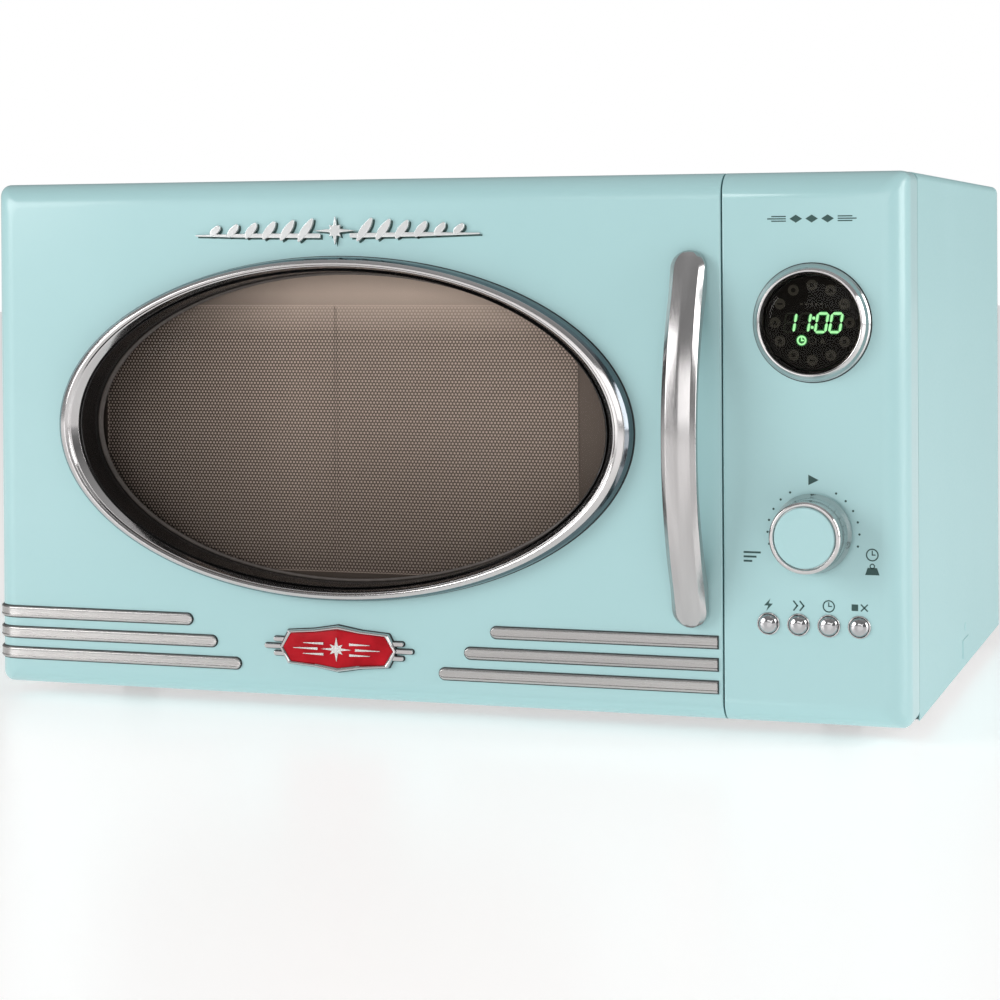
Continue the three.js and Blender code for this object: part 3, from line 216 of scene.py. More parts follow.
def clear_pane(name, tint, gloss_rough, ior=1.5):
    """A flat pane that passes a tinted view and mirrors by its angle, with faint wipe marks."""
    material, nodes, links = new_material(name)
    nodes.remove(nodes["Principled BSDF"])
    out = nodes["Material Output"]
    where = nodes.new("ShaderNodeTexCoord")
    wipe = new_node(nodes, "ShaderNodeTexNoise", Scale=22, Detail=5)
    rough = new_node(nodes, "ShaderNodeMapRange", To_Min=gloss_rough, To_Max=gloss_rough * 2)
    relief = new_node(nodes, "ShaderNodeBump", Strength=0.01, Distance=0.0005)
    through = new_node(nodes, "ShaderNodeBsdfTransparent", Color=(*tint, 1))
    mirror = new_node(nodes, "ShaderNodeBsdfGlossy", Color=(1, 1, 1, 1))
    edge = new_node(nodes, "ShaderNodeFresnel", IOR=ior)
    mix = nodes.new("ShaderNodeMixShader")
    wire(
        links,
        (where, "Object", wipe, "Vector"), (wipe, 0, rough, "Value"), (wipe, 0, relief, "Height"),
        (relief, 0, mirror, "Normal"), (rough, 0, mirror, "Roughness"), (edge, 0, mix, 0),
        (through, 0, mix, 1), (mirror, 0, mix, 2), (mix, 0, out, "Surface"),
    )
    return material


def paint_shade_gradient(material, up, across):
    """Painted light and shade: the base colour made brighter or darker along Z and along X. Each run is
    (first metre, last metre, (place, share of the colour), ...)."""
    nodes, links = material.node_tree.nodes, material.node_tree.links
    shader = nodes["Principled BSDF"]
    axes = nodes.new("ShaderNodeSeparateXYZ")
    wire(links, (nodes["Texture Coordinate"], "Object", axes, 0))
    colour = shader.inputs["Base Color"].links[0].from_socket
    for axis, (first, last, *stops) in (("Z", up), ("X", across)):
        span = new_node(nodes, "ShaderNodeMapRange", From_Min=first, From_Max=last)
        ramp = grey_ramp(nodes, stops)
        product = nodes.new("ShaderNodeVectorMath")
        product.operation = "MULTIPLY"
        links.new(colour, product.inputs[0])
        wire(links, (axes, axis, span, "Value"), (span, 0, ramp, "Fac"), (ramp, "Color", product, 1))
        colour = product.outputs[0]
    links.new(colour, shader.inputs["Base Color"])


def glowing(name, colour, strength, dark):
    """A lit display segment with a slightly uneven glow."""
    material = surface(name, dark, dark, 60, 900, (0.4, 0.5), 0.01)
    nodes, links = material.node_tree.nodes, material.node_tree.links
    shader = nodes["Principled BSDF"]
    noise = new_node(nodes, "ShaderNodeTexNoise", Scale=500)
    tint = ramp_between(nodes, tuple(0.86 * c for c in colour), colour)
    wire(
        links,
        (nodes["Texture Coordinate"], "Object", noise, "Vector"), (noise, 0, tint, "Fac"),
        (tint, "Color", shader, "Emission Color"),
    )
    set_sockets(shader, {"Emission Strength": strength})
    return material


AQUA_LOW = (0.385, 0.625, 0.640)
AQUA_HIGH = (0.402, 0.642, 0.658)
FINISH = {
    "enamel_front": surface(
        "aqua_enamel_front", AQUA_LOW, AQUA_HIGH, 7, 520, (0.30, 0.36), 0.03, coat=0.35, coat_rough=0.12
    ),
    "enamel_case": surface(
        "aqua_enamel_case", AQUA_LOW, AQUA_HIGH, 5, 620, (0.42, 0.50), 0.05, coat=0.06, coat_rough=0.2,
        Specular_IOR_Level=0.35,
    ),
    "chrome": surface(
        "bright_chrome", (0.53, 0.52, 0.52), (0.58, 0.57, 0.57), 14, 900, (0.09, 0.14), 0.006, metallic=1.0
    ),
    "satin_trim": surface(
        "satin_chrome_strip", (0.44, 0.43, 0.425), (0.49, 0.48, 0.47), 20, 260, (0.22, 0.30), 0.008,
        stretch=(0.12, 1, 6), metallic=1.0,
    ),
    "red_enamel": surface(
        "red_badge_enamel", (0.34, 0.004, 0.010), (0.50, 0.010, 0.020), 60, 1400, (0.34, 0.42), 0.03,
        coat=0.04, coat_rough=0.2, Specular_IOR_Level=0.08,
    ),
    "galvanised": surface(
        "zinc_plated_steel", (0.40, 0.41, 0.42), (0.60, 0.61, 0.61), 160, 900, (0.34, 0.5), 0.05, metallic=0.9
    ),
    "oven_liner": surface(
        "oven_liner_paint", (0.60, 0.61, 0.60), (0.66, 0.67, 0.66), 12, 900, (0.34, 0.42), 0.06
    ),
    "dark_plastic": surface(
        "dark_brown_plastic", (0.018, 0.016, 0.015), (0.028, 0.025, 0.023), 25, 1100, (0.38, 0.5), 0.08
    ),
    # The screen paint; the painted shade gradient below darkens it towards the bottom and the left.
    "door_steel": surface(
        "door_screen_paint_and_painted_shade", (0.78, 0.72, 0.67), (0.84, 0.78, 0.72), 10, 1200, (0.62, 0.72), 0.05,
        Specular_IOR_Level=0.1
    ),
    "display_black": surface(
        "display_black", (0.003, 0.003, 0.003), (0.006, 0.006, 0.005), 60, 900, (0.35, 0.42), 0.01,
        Specular_IOR_Level=0.15,
    ),
    "circuit_board": surface(
        "circuit_board_mask", (0.02, 0.11, 0.05), (0.03, 0.15, 0.07), 240, 1400, (0.35, 0.5), 0.1
    ),
    "rubber": surface(
        "black_rubber", (0.012, 0.012, 0.012), (0.022, 0.022, 0.022), 60, 1600, (0.7, 0.85), 0.25
    ),
    "white_plastic": surface(
        "white_moulded_plastic", (0.70, 0.69, 0.65), (0.76, 0.75, 0.71), 25, 900, (0.38, 0.48), 0.05
    ),
    "cooling_aluminium": surface(
        "cooling_aluminium", (0.62, 0.63, 0.64), (0.74, 0.75, 0.76), 50, 500, (0.25, 0.4), 0.05,
        stretch=(1, 8, 1), metallic=1.0,
    ),
    "core_iron": surface(
        "laminated_core_iron", (0.10, 0.07, 0.05), (0.17, 0.12, 0.09), 90, 300, (0.45, 0.65), 0.3,
        stretch=(1, 14, 1), metallic=0.6,
    ),
    "mica": surface(
        "pale_brown_mica", (0.40, 0.32, 0.21), (0.58, 0.49, 0.34), 70, 900, (0.4, 0.6), 0.15,
        stretch=(1, 0.4, 1),
    ),
    "clear_glass": clear_pane("smoked_window_glass", (0.86, 0.83, 0.81), 0.02, 1.08),
}
TRAY_GLASS = clear_pane("tray_glass", (0.90, 0.93, 0.92), 0.03)
LENS_GLASS = clear_pane("display_lens_smoke", (0.66, 0.64, 0.60), 0.02, 1.16)
LAMP_GLASS = clear_pane("lamp_glass", (0.94, 0.93, 0.90), 0.05)
# Dark green print, also used for the ornament's painted drop shadow.
PRINT_AND_SHADOW_GREEN = surface(
    "dark_green_print_and_shadow", (0.016, 0.062, 0.058), (0.024, 0.078, 0.072), 90, 1500, (0.45, 0.6), 0.05
)
# The pale film seen through the screen's holes; the painted shade gradient below darkens it towards the bottom
# and the left.
SCREEN_DOT_PAINTED_SHADE = surface(
    "pale_screen_dot_and_painted_shade", (0.88, 0.81, 0.75), (0.94, 0.87, 0.81), 8, 900, (0.62, 0.72), 0.05,
    Specular_IOR_Level=0.1,
)
# Painted shade on the screen steel: darker towards the bottom and the left, full colour at the top.
paint_shade_gradient(
    FINISH["door_steel"],
    (0.045, 0.245, (0.0, 0.12), (0.28, 0.18), (0.5, 0.27), (0.74, 0.33), (0.85, 1.0), (1.0, 1.0)),
    (-0.225, 0.110, (0.0, 0.14), (0.22, 0.30), (0.45, 0.95), (1.0, 1.0)),
)
# Painted shade on the pale screen film: darker towards the bottom and the left.
paint_shade_gradient(
    SCREEN_DOT_PAINTED_SHADE,
    (0.045, 0.245, (0.0, 0.40), (0.3, 0.60), (0.55, 0.85), (1.0, 1.0)),
    (-0.225, 0.110, (0.0, 0.42), (0.22, 0.60), (0.45, 1.0), (1.0, 1.0)),
)
ORNAMENT_CHROME = surface(
    "pale_chrome_ornament", (0.78, 0.80, 0.80), (0.84, 0.86, 0.86), 30, 900, (0.16, 0.22), 0.005, metallic=0.5
)
HANDLE_SATIN = surface(
    "brushed_chrome_handle", (0.46, 0.45, 0.45), (0.52, 0.51, 0.51), 30, 420, (0.17, 0.25), 0.01,
    stretch=(6, 1, 0.4), metallic=1.0,
)
BUTTON_CHROME = surface(
    "dark_chrome_button", (0.42, 0.42, 0.43), (0.48, 0.48, 0.49), 30, 900, (0.05, 0.09), 0.004, metallic=1.0
)
# Painted reflection: a dark chrome for the window ring's outer slope, standing in for the dark reflection it
# shows.
RING_PAINTED_REFLECTION = surface(
    "chrome_edge_painted_reflection", (0.15, 0.17, 0.19), (0.19, 0.21, 0.23), 14, 900, (0.10, 0.16), 0.006, metallic=1.0
)
RECESS_GLOSS = surface(
    "gloss_black_recess", (0.006, 0.006, 0.006), (0.010, 0.009, 0.009), 25, 1100, (0.16, 0.24), 0.02
)
RECESS_FLANGE = surface(
    "brown_recess_flange", (0.062, 0.052, 0.046), (0.086, 0.073, 0.065), 160, 1600, (0.42, 0.55), 0.12
)
# Painted shadow: the dark of the thin gaps round the trims, the rings and the badge; also used for the dark film
# behind the screen's rear holes.
SHADOW_GAP_AND_REAR_FILM = surface(
    "trim_shadow_gap", (0.020, 0.028, 0.030), (0.032, 0.042, 0.044), 60, 1200, (0.5, 0.65), 0.05
)
BADGE_SILVER = surface(
    "badge_silver_print", (0.62, 0.61, 0.60), (0.74, 0.73, 0.72), 90, 1200, (0.2, 0.3), 0.02, metallic=0.7
)
LIT_GREEN = glowing("lit_green_segment", (0.42, 1.0, 0.50), 2.6, (0.05, 0.40, 0.10))
LIT_HALO = glowing("lit_green_edge", (0.10, 0.75, 0.22), 0.35, (0.01, 0.10, 0.03))
DIM_SEGMENT = surface(
    "unlit_segment", (0.014, 0.026, 0.016), (0.020, 0.034, 0.021), 200, 1200, (0.3, 0.4), 0.02
)
# Painted glow: the unlit icons are given a faint emission so they show dim grey on the black card.
DIM_ICON_PAINTED_GLOW = glowing("unlit_icon_painted_glow", (0.10, 0.10, 0.088), 0.34, (0.03, 0.03, 0.026))
FLOOR_WHITE = surface(
    "white_floor", (0.925, 0.910, 0.905), (0.93, 0.915, 0.91), 0.8, 60, (0.30, 0.33), 0.001,
    Emission_Color=(*WARM_WHITE, 1), Emission_Strength=0.39,
)

# ---- Making meshes -----------------------------------------------------------------------------

JOIN = 1e-6  # metres; a made piece's points nearer than this are one point
WELD = 1e-5  # metres; the same for a CAD piece's triangles


def apply_modifiers(piece):
    """The piece with its modifiers made into its mesh."""
    bpy.context.view_layer.update()
    graph = bpy.context.evaluated_depsgraph_get()
    mesh = bpy.data.meshes.new_from_object(
        piece.evaluated_get(graph), preserve_all_data_layers=True, depsgraph=graph
    )
    piece.modifiers.clear()
    old = piece.data
    piece.data = mesh
    bpy.data.meshes.remove(old)


def shade(piece, angle=32, weighted=True):
    """Smooth shading that keeps edges sharper than the angle, with the large faces held flat."""
    mesh = piece.data
    mesh.shade_smooth()
    mesh.set_sharp_from_angle(angle=math.radians(angle))
    if weighted:
        modifier = piece.modifiers.new("even_normals", "WEIGHTED_NORMAL")
        modifier.keep_sharp = True
        modifier.weight = 80
        apply_modifiers(piece)
    return piece


def add_piece(name, verts, faces, material, angle=32, weighted=True, bevel=0.0):
    """A piece from points in millimetres."""
    mesh = bpy.data.meshes.new(name)
    mesh.from_pydata([tuple(MM * c for c in v) for v in verts], [], faces)
    piece = bpy.data.objects.new(name, mesh)
    scene.collection.objects.link(piece)
    bm = bmesh.new()
    bm.from_mesh(mesh)
    bmesh.ops.remove_doubles(bm, verts=bm.verts, dist=JOIN)
    bmesh.ops.dissolve_degenerate(bm, edges=bm.edges, dist=JOIN)
    bmesh.ops.recalc_face_normals(bm, faces=bm.faces)
    bm.to_mesh(mesh)
    bm.free()
    if bevel:
        round_edges(piece, bevel)
    one_finish(piece, material)
    return shade(piece, angle, weighted)


def one_finish(piece, material):
    piece.data.materials.clear()
    piece.data.materials.append(material)


def round_edges(piece, width, segments=3):
    modifier = piece.modifiers.new("rounding", "BEVEL")
    modifier.width = width * MM
    modifier.segments = segments
    modifier.limit_method = "ANGLE"
    modifier.angle_limit = math.radians(38)
    modifier.use_clamp_overlap = True
    modifier.miter_outer = "MITER_ARC"
    apply_modifiers(piece)


def fit(piece, body, slot, *stands_for):
    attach(piece, body)
    if stands_for:
        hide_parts(*stands_for)
    return piece


def eased(points, steps=5):
    """A run of [a, b] or [a, b, radius] corners, with each radius made an arc of short lines."""
    out = []
    count = len(points)
    for i, point in enumerate(points):
        radius = point[2] if len(point) > 2 else 0
        here = Vector(point[:2])
        if not radius or i in (0, count - 1):
            out.append(tuple(here))
            continue
        before = Vector(points[i - 1][:2]) - here
        after = Vector(points[i + 1][:2]) - here
        angle = before.angle(after)
        reach = radius / math.tan(angle / 2)
        reach = min(reach, 0.49 * before.length, 0.49 * after.length)
        start = here + before.normalized() * reach
        stop = here + after.normalized() * reach
        for k in range(steps + 1):
            t = k / steps
            out.append(tuple((1 - t) ** 2 * start + 2 * t * (1 - t) * here + t * t * stop))
    return out


def circle(steps):
    """Each step's cosine and sine round a circle."""
    turns = [2 * math.pi * k / steps for k in range(steps)]
    return [(math.cos(turn), math.sin(turn)) for turn in turns]


def skin(rows, count, loop=False):
    """Faces between rows of count points, each row a closed run; loop joins the last to the first."""
    faces = []
    for row in range(rows if loop else rows - 1):
        a, b = row * count, (row + 1) % rows * count
        for k in range(count):
            n = (k + 1) % count
            faces.append((a + k, a + n, b + n, b + k))
    return faces


def turned(name, profile, x, z, material, steps=96, squash=1.0, loop=False, angle=28):
    """A profile of [radius, y] turned about a Y axis; squash flattens it to an oval in height."""
    verts = [(x + radius * c, y, z + squash * radius * s) for radius, y in profile for c, s in circle(steps)]
    return add_piece(name, verts, skin(len(profile), steps, loop), material, angle, weighted=False)


def plate(name, outline, y0, y1, material, bevel, angle=32):
    """An outline in X and Z, carried from y0 back to y1."""
    count = len(outline)
    verts = [(x, y, z) for y in (y0, y1) for x, z in outline]
    faces = [tuple(range(count)), tuple(range(2 * count - 1, count - 1, -1))] + skin(2, count)
    return add_piece(name, verts, faces, material, angle, True, bevel)


def box_mesh(x0, x1, y0, y1, z0, z1):
    verts = [(x, y, z) for x in (x0, x1) for y in (y0, y1) for z in (z0, z1)]
    faces = [(0, 1, 3, 2), (4, 6, 7, 5), (0, 4, 5, 1), (2, 3, 7, 6), (0, 2, 6, 4), (1, 5, 7, 3)]
    return verts, faces


def join_pieces(name, pieces):
    """Pieces of one body made into one object; they keep their finishes."""
    bm = bmesh.new()
    materials = []
    for piece in pieces:
        offset = {}
        for i, material in enumerate(piece.data.materials):
            if material not in materials:
                materials.append(material)
            offset[i] = materials.index(material)
        part = piece.data.copy()
        indices = [offset.get(p.material_index, 0) for p in part.polygons]
        part.polygons.foreach_set("material_index", indices)
        bm.from_mesh(part)
        bpy.data.meshes.remove(part)
    mesh = bpy.data.meshes.new(name)
    bm.to_mesh(mesh)
    bm.free()
    for material in materials:
        mesh.materials.append(material)
    for piece in pieces:
        bpy.data.objects.remove(piece)
    whole = bpy.data.objects.new(name, mesh)
    scene.collection.objects.link(whole)
    return whole


def rounded_outline(x0, x1, z0, z1, r, steps=5):
    points = []
    corners = ((x1 - r, z0 + r), (x1 - r, z1 - r), (x0 + r, z1 - r), (x0 + r, z0 + r))
    for (cx, cz), start in zip(corners, (-90, 0, 90, 180)):
        for k in range(steps + 1):
            turn = math.radians(start + 90 * k / steps)
            points.append((cx + r * math.cos(turn), cz + r * math.sin(turn)))
    return points


def swept_bar(name, stations, section, material):
    """A bar along stations of (centre, across, outward, half width, depth); section is a closed
    run of (share of the half width, share of the depth)."""
    count = len(section)
    verts = [
        tuple(centre + across * (a * half) + out * (b * depth))
        for centre, across, out, half, depth in stations for a, b in section
    ]
    faces = skin(len(stations), count)
    last = (len(stations) - 1) * count
    faces += [tuple(range(count - 1, -1, -1)), tuple(range(last, last + count))]
    return add_piece(name, verts, faces, material, 30, weighted=False)


PIERCED = ("back_panel", "choke_cover", "base_plate", "magnetron")


def copy_of(node, name, material, bevel):
    """A fine-edged copy of a CAD piece: its triangles joined into whole faces, edges rounded.

    A pierced sheet keeps its triangles, because one face can't go round several holes.
    """
    mesh = frame["nodes"][node].data.copy()
    mesh.name = name
    piece = bpy.data.objects.new(name, mesh)
    scene.collection.objects.link(piece)
    bm = bmesh.new()
    bm.from_mesh(mesh)
    bmesh.ops.remove_doubles(bm, verts=bm.verts, dist=WELD)
    if node not in PIERCED:
        bmesh.ops.dissolve_limit(
            bm, angle_limit=math.radians(1), verts=bm.verts, edges=bm.edges,
            use_dissolve_boundaries=False,
        )
    bmesh.ops.recalc_face_normals(bm, faces=bm.faces)
    bm.to_mesh(mesh)
    bm.free()
    if "custom_normal" in mesh.attributes:
        mesh.attributes.remove(mesh.attributes["custom_normal"])
    round_edges(piece, bevel, 2)
    one_finish(piece, material)
    return shade(piece)


def limits(node):
    """A CAD piece's box as x0, x1, y0, y1, z0, z1 in millimetres."""
    low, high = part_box(node)
    return tuple(c / MM for c in (low.x, high.x, low.y, high.y, low.z, high.z))


def middle(box):
    return (box[0] + box[1]) / 2, (box[4] + box[5]) / 2


# ---- Repeated shapes ---------------------------------------------------------------------------


class Grower:
    """A geometry node tree that is built once and grown with named sizes."""

    def __init__(self, name, inputs):
        self.tree = bpy.data.node_groups.new(name, "GeometryNodeTree")
        face = self.tree.interface
        face.new_socket(name="Geometry", in_out="INPUT", socket_type="NodeSocketGeometry")
        for label, kind, value in inputs:
            socket = face.new_socket(name=label, in_out="INPUT", socket_type=kind)
            if value is not None:
                socket.default_value = value
        face.new_socket(name="Finish", in_out="INPUT", socket_type="NodeSocketMaterial")
        face.new_socket(name="Geometry", in_out="OUTPUT", socket_type="NodeSocketGeometry")
        self.start = self.add("NodeGroupInput")
        self.end = self.add("NodeGroupOutput")

    def add(self, kind, sockets=None, **settings):
        """A node with its settings; each socket takes a number or another node's output."""
        node = self.tree.nodes.new(kind)
        for key, value in settings.items():
            setattr(node, key, value)
        for socket, value in (sockets or {}).items():
            self.feed(value, node.inputs[socket])
        return node

    def feed(self, value, socket):
        if isinstance(value, bpy.types.NodeSocket):
            self.tree.links.new(value, socket)
        else:
            socket.default_value = value

    def size(self, label):
        return self.start.outputs[label]

    def math(self, operation, a, b=None):
        """A sum on the tree's sizes, which may be given by name."""
        values = [self.size(v) if isinstance(v, str) else v for v in (a, b) if v is not None]
        return self.add("ShaderNodeMath", dict(enumerate(values)), operation=operation).outputs[0]

    def finish(self, geometry):
        real = self.add("GeometryNodeRealizeInstances", {0: geometry})
        paint = self.add("GeometryNodeSetMaterial", {
            "Geometry": real.outputs[0], "Material": self.size("Finish"),
        })
        self.feed(paint.outputs[0], self.end.inputs[0])

    def grow(self, name, points, finish, **sizes):
        """The tree run on points in millimetres, as a plain mesh."""
        seed = bpy.data.meshes.new(name + "_points")
        seed.from_pydata([tuple(MM * c for c in p) for p in points], [], [])
        holder = bpy.data.objects.new(name + "_points", seed)
        scene.collection.objects.link(holder)
        modifier = holder.modifiers.new("grown", "NODES")
        modifier.node_group = self.tree
        wanted = {label.replace("_", " "): value for label, value in sizes.items()}
        wanted["Finish"] = finish
        for item in self.tree.interface.items_tree:
            if item.item_type == "SOCKET" and item.in_out == "INPUT" and item.name in wanted:
                modifier[item.identifier] = wanted[item.name]
        bpy.context.view_layer.update()
        graph = bpy.context.evaluated_depsgraph_get()
        mesh = bpy.data.meshes.new_from_object(holder.evaluated_get(graph), depsgraph=graph)
        mesh.name = name
        bpy.data.objects.remove(holder)
        bpy.data.meshes.remove(seed)
        piece = bpy.data.objects.new(name, mesh)
        scene.collection.objects.link(piece)
        one_finish(piece, finish)
        return piece


FLOAT = "NodeSocketFloat"
VECTOR = "NodeSocketVector"


def perforation_tree():
    """Six-sided cells with a hole each, laid in staggered rows as one sheet facing -Y."""
    g = Grower(
        "perforated_sheet",
        [("Width", FLOAT, 0.1), ("Height", FLOAT, 0.1), ("Pitch", FLOAT, 0.0018),
         ("Hole Share", FLOAT, 0.62), ("Thickness", FLOAT, 0.0004)],
    )
    row_pitch = g.math("MULTIPLY", "Pitch", math.sqrt(3) / 2)
    columns = g.math("ROUND", g.math("DIVIDE", "Width", "Pitch"))
    rows = g.math("ROUND", g.math("DIVIDE", "Height", row_pitch))
    grid = g.add("GeometryNodeMeshGrid", {
        "Size X": g.math("MULTIPLY", g.math("SUBTRACT", columns, 1), "Pitch"),
        "Size Y": g.math("MULTIPLY", g.math("SUBTRACT", rows, 1), row_pitch),
        "Vertices X": columns, "Vertices Y": rows,
    })
    parts = g.add("ShaderNodeSeparateXYZ", {0: g.add("GeometryNodeInputPosition").outputs[0]})
    from_edge = g.math("ADD", parts.outputs["Y"], g.math("MULTIPLY", "Height", 0.5))
    odd = g.math("FLOORED_MODULO", g.math("FLOOR", g.math("DIVIDE", from_edge, row_pitch)), 2)
    shift = g.math("MULTIPLY", g.math("MULTIPLY", odd, "Pitch"), 0.5)
    offset = g.add("ShaderNodeCombineXYZ", {"X": shift})
    stagger = g.add("GeometryNodeSetPosition", {"Geometry": grid.outputs["Mesh"], "Offset": offset.outputs[0]})
    cell = g.add(
        "GeometryNodeMeshCircle", {"Vertices": 6, "Radius": g.math("DIVIDE", "Pitch", math.sqrt(3))},
        fill_type="NGON",
    )
    turn = g.add("GeometryNodeTransform", {0: cell.outputs[0], "Rotation": (0, 0, math.pi / 6)})
    lip = g.add("GeometryNodeExtrudeMesh", {"Mesh": turn.outputs[0], "Offset Scale": 0}, mode="FACES")
    narrow = g.add("GeometryNodeScaleElements", {
        "Geometry": lip.outputs["Mesh"], "Selection": lip.outputs["Top"], "Scale": g.size("Hole Share"),
    }, domain="FACE")
    wall = g.add("GeometryNodeExtrudeMesh", {
        "Mesh": narrow.outputs[0], "Selection": lip.outputs["Top"],
        "Offset Scale": g.math("MULTIPLY", "Thickness", -1),
    }, mode="FACES")
    opened = g.add("GeometryNodeDeleteGeometry", {
        "Geometry": wall.outputs["Mesh"], "Selection": wall.outputs["Top"],
    }, domain="FACE")
    lay = g.add("GeometryNodeInstanceOnPoints", {"Points": stagger.outputs[0], "Instance": opened.outputs[0]})
    real = g.add("GeometryNodeRealizeInstances", {0: lay.outputs[0]})
    weld = g.add("GeometryNodeMergeByDistance", {"Geometry": real.outputs[0], "Distance": 0.00002})
    stand = g.add("GeometryNodeTransform", {0: weld.outputs[0], "Rotation": (math.pi / 2, 0, 0)})
    copies = g.add("GeometryNodeInstanceOnPoints", {"Points": g.start.outputs[0], "Instance": stand.outputs[0]})
    g.finish(copies.outputs[0])
    return g


def raised(g, mesh, share):
    """A mesh lifted by a share of the Height."""
    up = g.add("ShaderNodeCombineXYZ", {"Z": g.math("MULTIPLY", "Height", share)})
    return g.add("GeometryNodeTransform", {0: mesh, "Translation": up.outputs[0]}).outputs[0]


def place_copies(g, mesh):
    copies = g.add("GeometryNodeInstanceOnPoints", {
        "Points": g.start.outputs[0], "Instance": mesh, "Rotation": g.size("Facing"),
    })
    g.finish(copies.outputs[0])
    return g


def screw_tree():
    """Domed screw heads with a cross recess; a head faces the way that Facing turns it."""
    g = Grower(
        "screw_heads", [("Radius", FLOAT, 0.0035), ("Height", FLOAT, 0.0018), ("Facing", VECTOR, (0, 0, 0))]
    )
    radius, height = g.size("Radius"), g.size("Height")
    head = g.add("GeometryNodeMeshCylinder", {
        "Vertices": 28, "Radius": radius, "Depth": g.math("MULTIPLY", height, 0.6),
    }, fill_type="NGON")
    dome = g.add("GeometryNodeMeshCone", {
        "Vertices": 28, "Radius Top": g.math("MULTIPLY", radius, 0.72), "Radius Bottom": radius,
        "Depth": g.math("MULTIPLY", height, 0.4),
    }, fill_type="NGON")
    whole = g.add("GeometryNodeMeshBoolean", {"Mesh 2": head.outputs["Mesh"]}, operation="UNION")
    g.feed(raised(g, dome.outputs["Mesh"], 0.3), whole.inputs["Mesh 2"])
    recess = g.add("GeometryNodeMeshBoolean", {"Mesh 1": whole.outputs[0]}, operation="DIFFERENCE")
    long_side, short_side = (g.math("MULTIPLY", radius, share) for share in (1.15, 0.24))
    for x, y in ((long_side, short_side), (short_side, long_side)):
        span = g.add("ShaderNodeCombineXYZ", {"X": x, "Y": y, "Z": height})
        bar = g.add("GeometryNodeMeshCube", {"Size": span.outputs[0]})
        g.feed(raised(g, bar.outputs["Mesh"], 0.66), recess.inputs["Mesh 2"])
    return place_copies(g, recess.outputs[0])


def dot_tree():
    """Small round discs, one on each point, facing the front."""
    g = Grower("printed_dots", [
        ("Radius", FLOAT, 0.0005), ("Thickness", FLOAT, 0.00008), ("Facing", VECTOR, (math.pi / 2, 0, 0)),
    ])
    disc = g.add("GeometryNodeMeshCylinder", {
        "Vertices": 16, "Radius": g.size("Radius"), "Depth": g.size("Thickness"),
    }, fill_type="NGON")
    return place_copies(g, disc.outputs["Mesh"])


PERFORATIONS = perforation_tree()
SCREWS = screw_tree()
DOTS = dot_tree()

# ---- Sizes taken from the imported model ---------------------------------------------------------

DOOR_X0, DOOR_X1, FACE_Y, DOOR_Y1, BOTTOM_Z, TOP_Z = limits("door_panel")
PANEL_X0, PANEL_X1 = limits("control_panel")[:2]
CASE_X0, CASE_X1, CASE_Y0, CASE_Y1 = limits("cabinet_wrap")[:4]
RING = limits("window_ring")
RING_X, RING_Z = middle(RING)
RING_A = (RING[1] - RING[0]) / 2
OVAL = (RING[5] - RING[4]) / (RING[1] - RING[0])
HINGE_R = 8  # the door's rounded edge about its pin
PIN_X = DOOR_X0 + 6
PIN_Y = DOOR_Y1 - 8
FRONT_ROUND = 13
FRONT_CORNER = 5
CASE_CORNER = 4
WALL = 2.5
LENS = limits("display_lens")
CONTROL_X, DISPLAY_Z = middle(LENS)
LENS_R = (LENS[1] - LENS[0]) / 2
KNOB = limits("knob")
KNOB_Z = middle(KNOB)[1]
BUTTON_BOXES = [limits(f"button_{i}") for i in (1, 2, 3, 4)]
REAR = (24, 29.4, 30.2, 31.0, 31.6, DOOR_Y1 - FACE_Y)  # depths of a front moulding's rear loops


FLOOR_R = 9000


def lay_floor():
    verts = [(FLOOR_R * c, FLOOR_R * s, 0) for c, s in circle(96)]
    add_piece("floor", verts, [tuple(range(96))], FLOOR_WHITE, weighted=False)


lay_floor()

# ---- Front mouldings ---------------------------------------------------------------------------


def front_loop(side, y, inset, seam_inset):
    """Outline of a front moulding at one depth. side is -1 for the door, whose left side is the
    rounded one, and 1 for the control panel."""
    seam = (DOOR_X1 - seam_inset) if side < 0 else (PANEL_X0 + seam_inset)
    outer = (DOOR_X0 + inset) if side < 0 else (PANEL_X1 - inset)
    low, high = BOTTOM_Z + inset, TOP_Z - inset
    r = FRONT_CORNER
    points = [(seam, y, low)]
    steps = 10
    for top in (False, True):
        cx = outer - side * r
        cz = high - r if top else low + r
        for k in range(steps + 1):
            turn = math.pi / 2 * k / steps
            along, rise = (math.cos(turn), math.sin(turn)) if top else (math.sin(turn), math.cos(turn))
            points.append((cx + side * r * along, y, cz + (r * rise if top else -r * rise)))
    points.append((seam, y, high))
    if side < 0 and y > PIN_Y:
        reach = PIN_X - math.sqrt(max(0.0, HINGE_R**2 - (y - PIN_Y) ** 2))
        points = [(max(x, reach), py, z) for x, py, z in points]
    return points


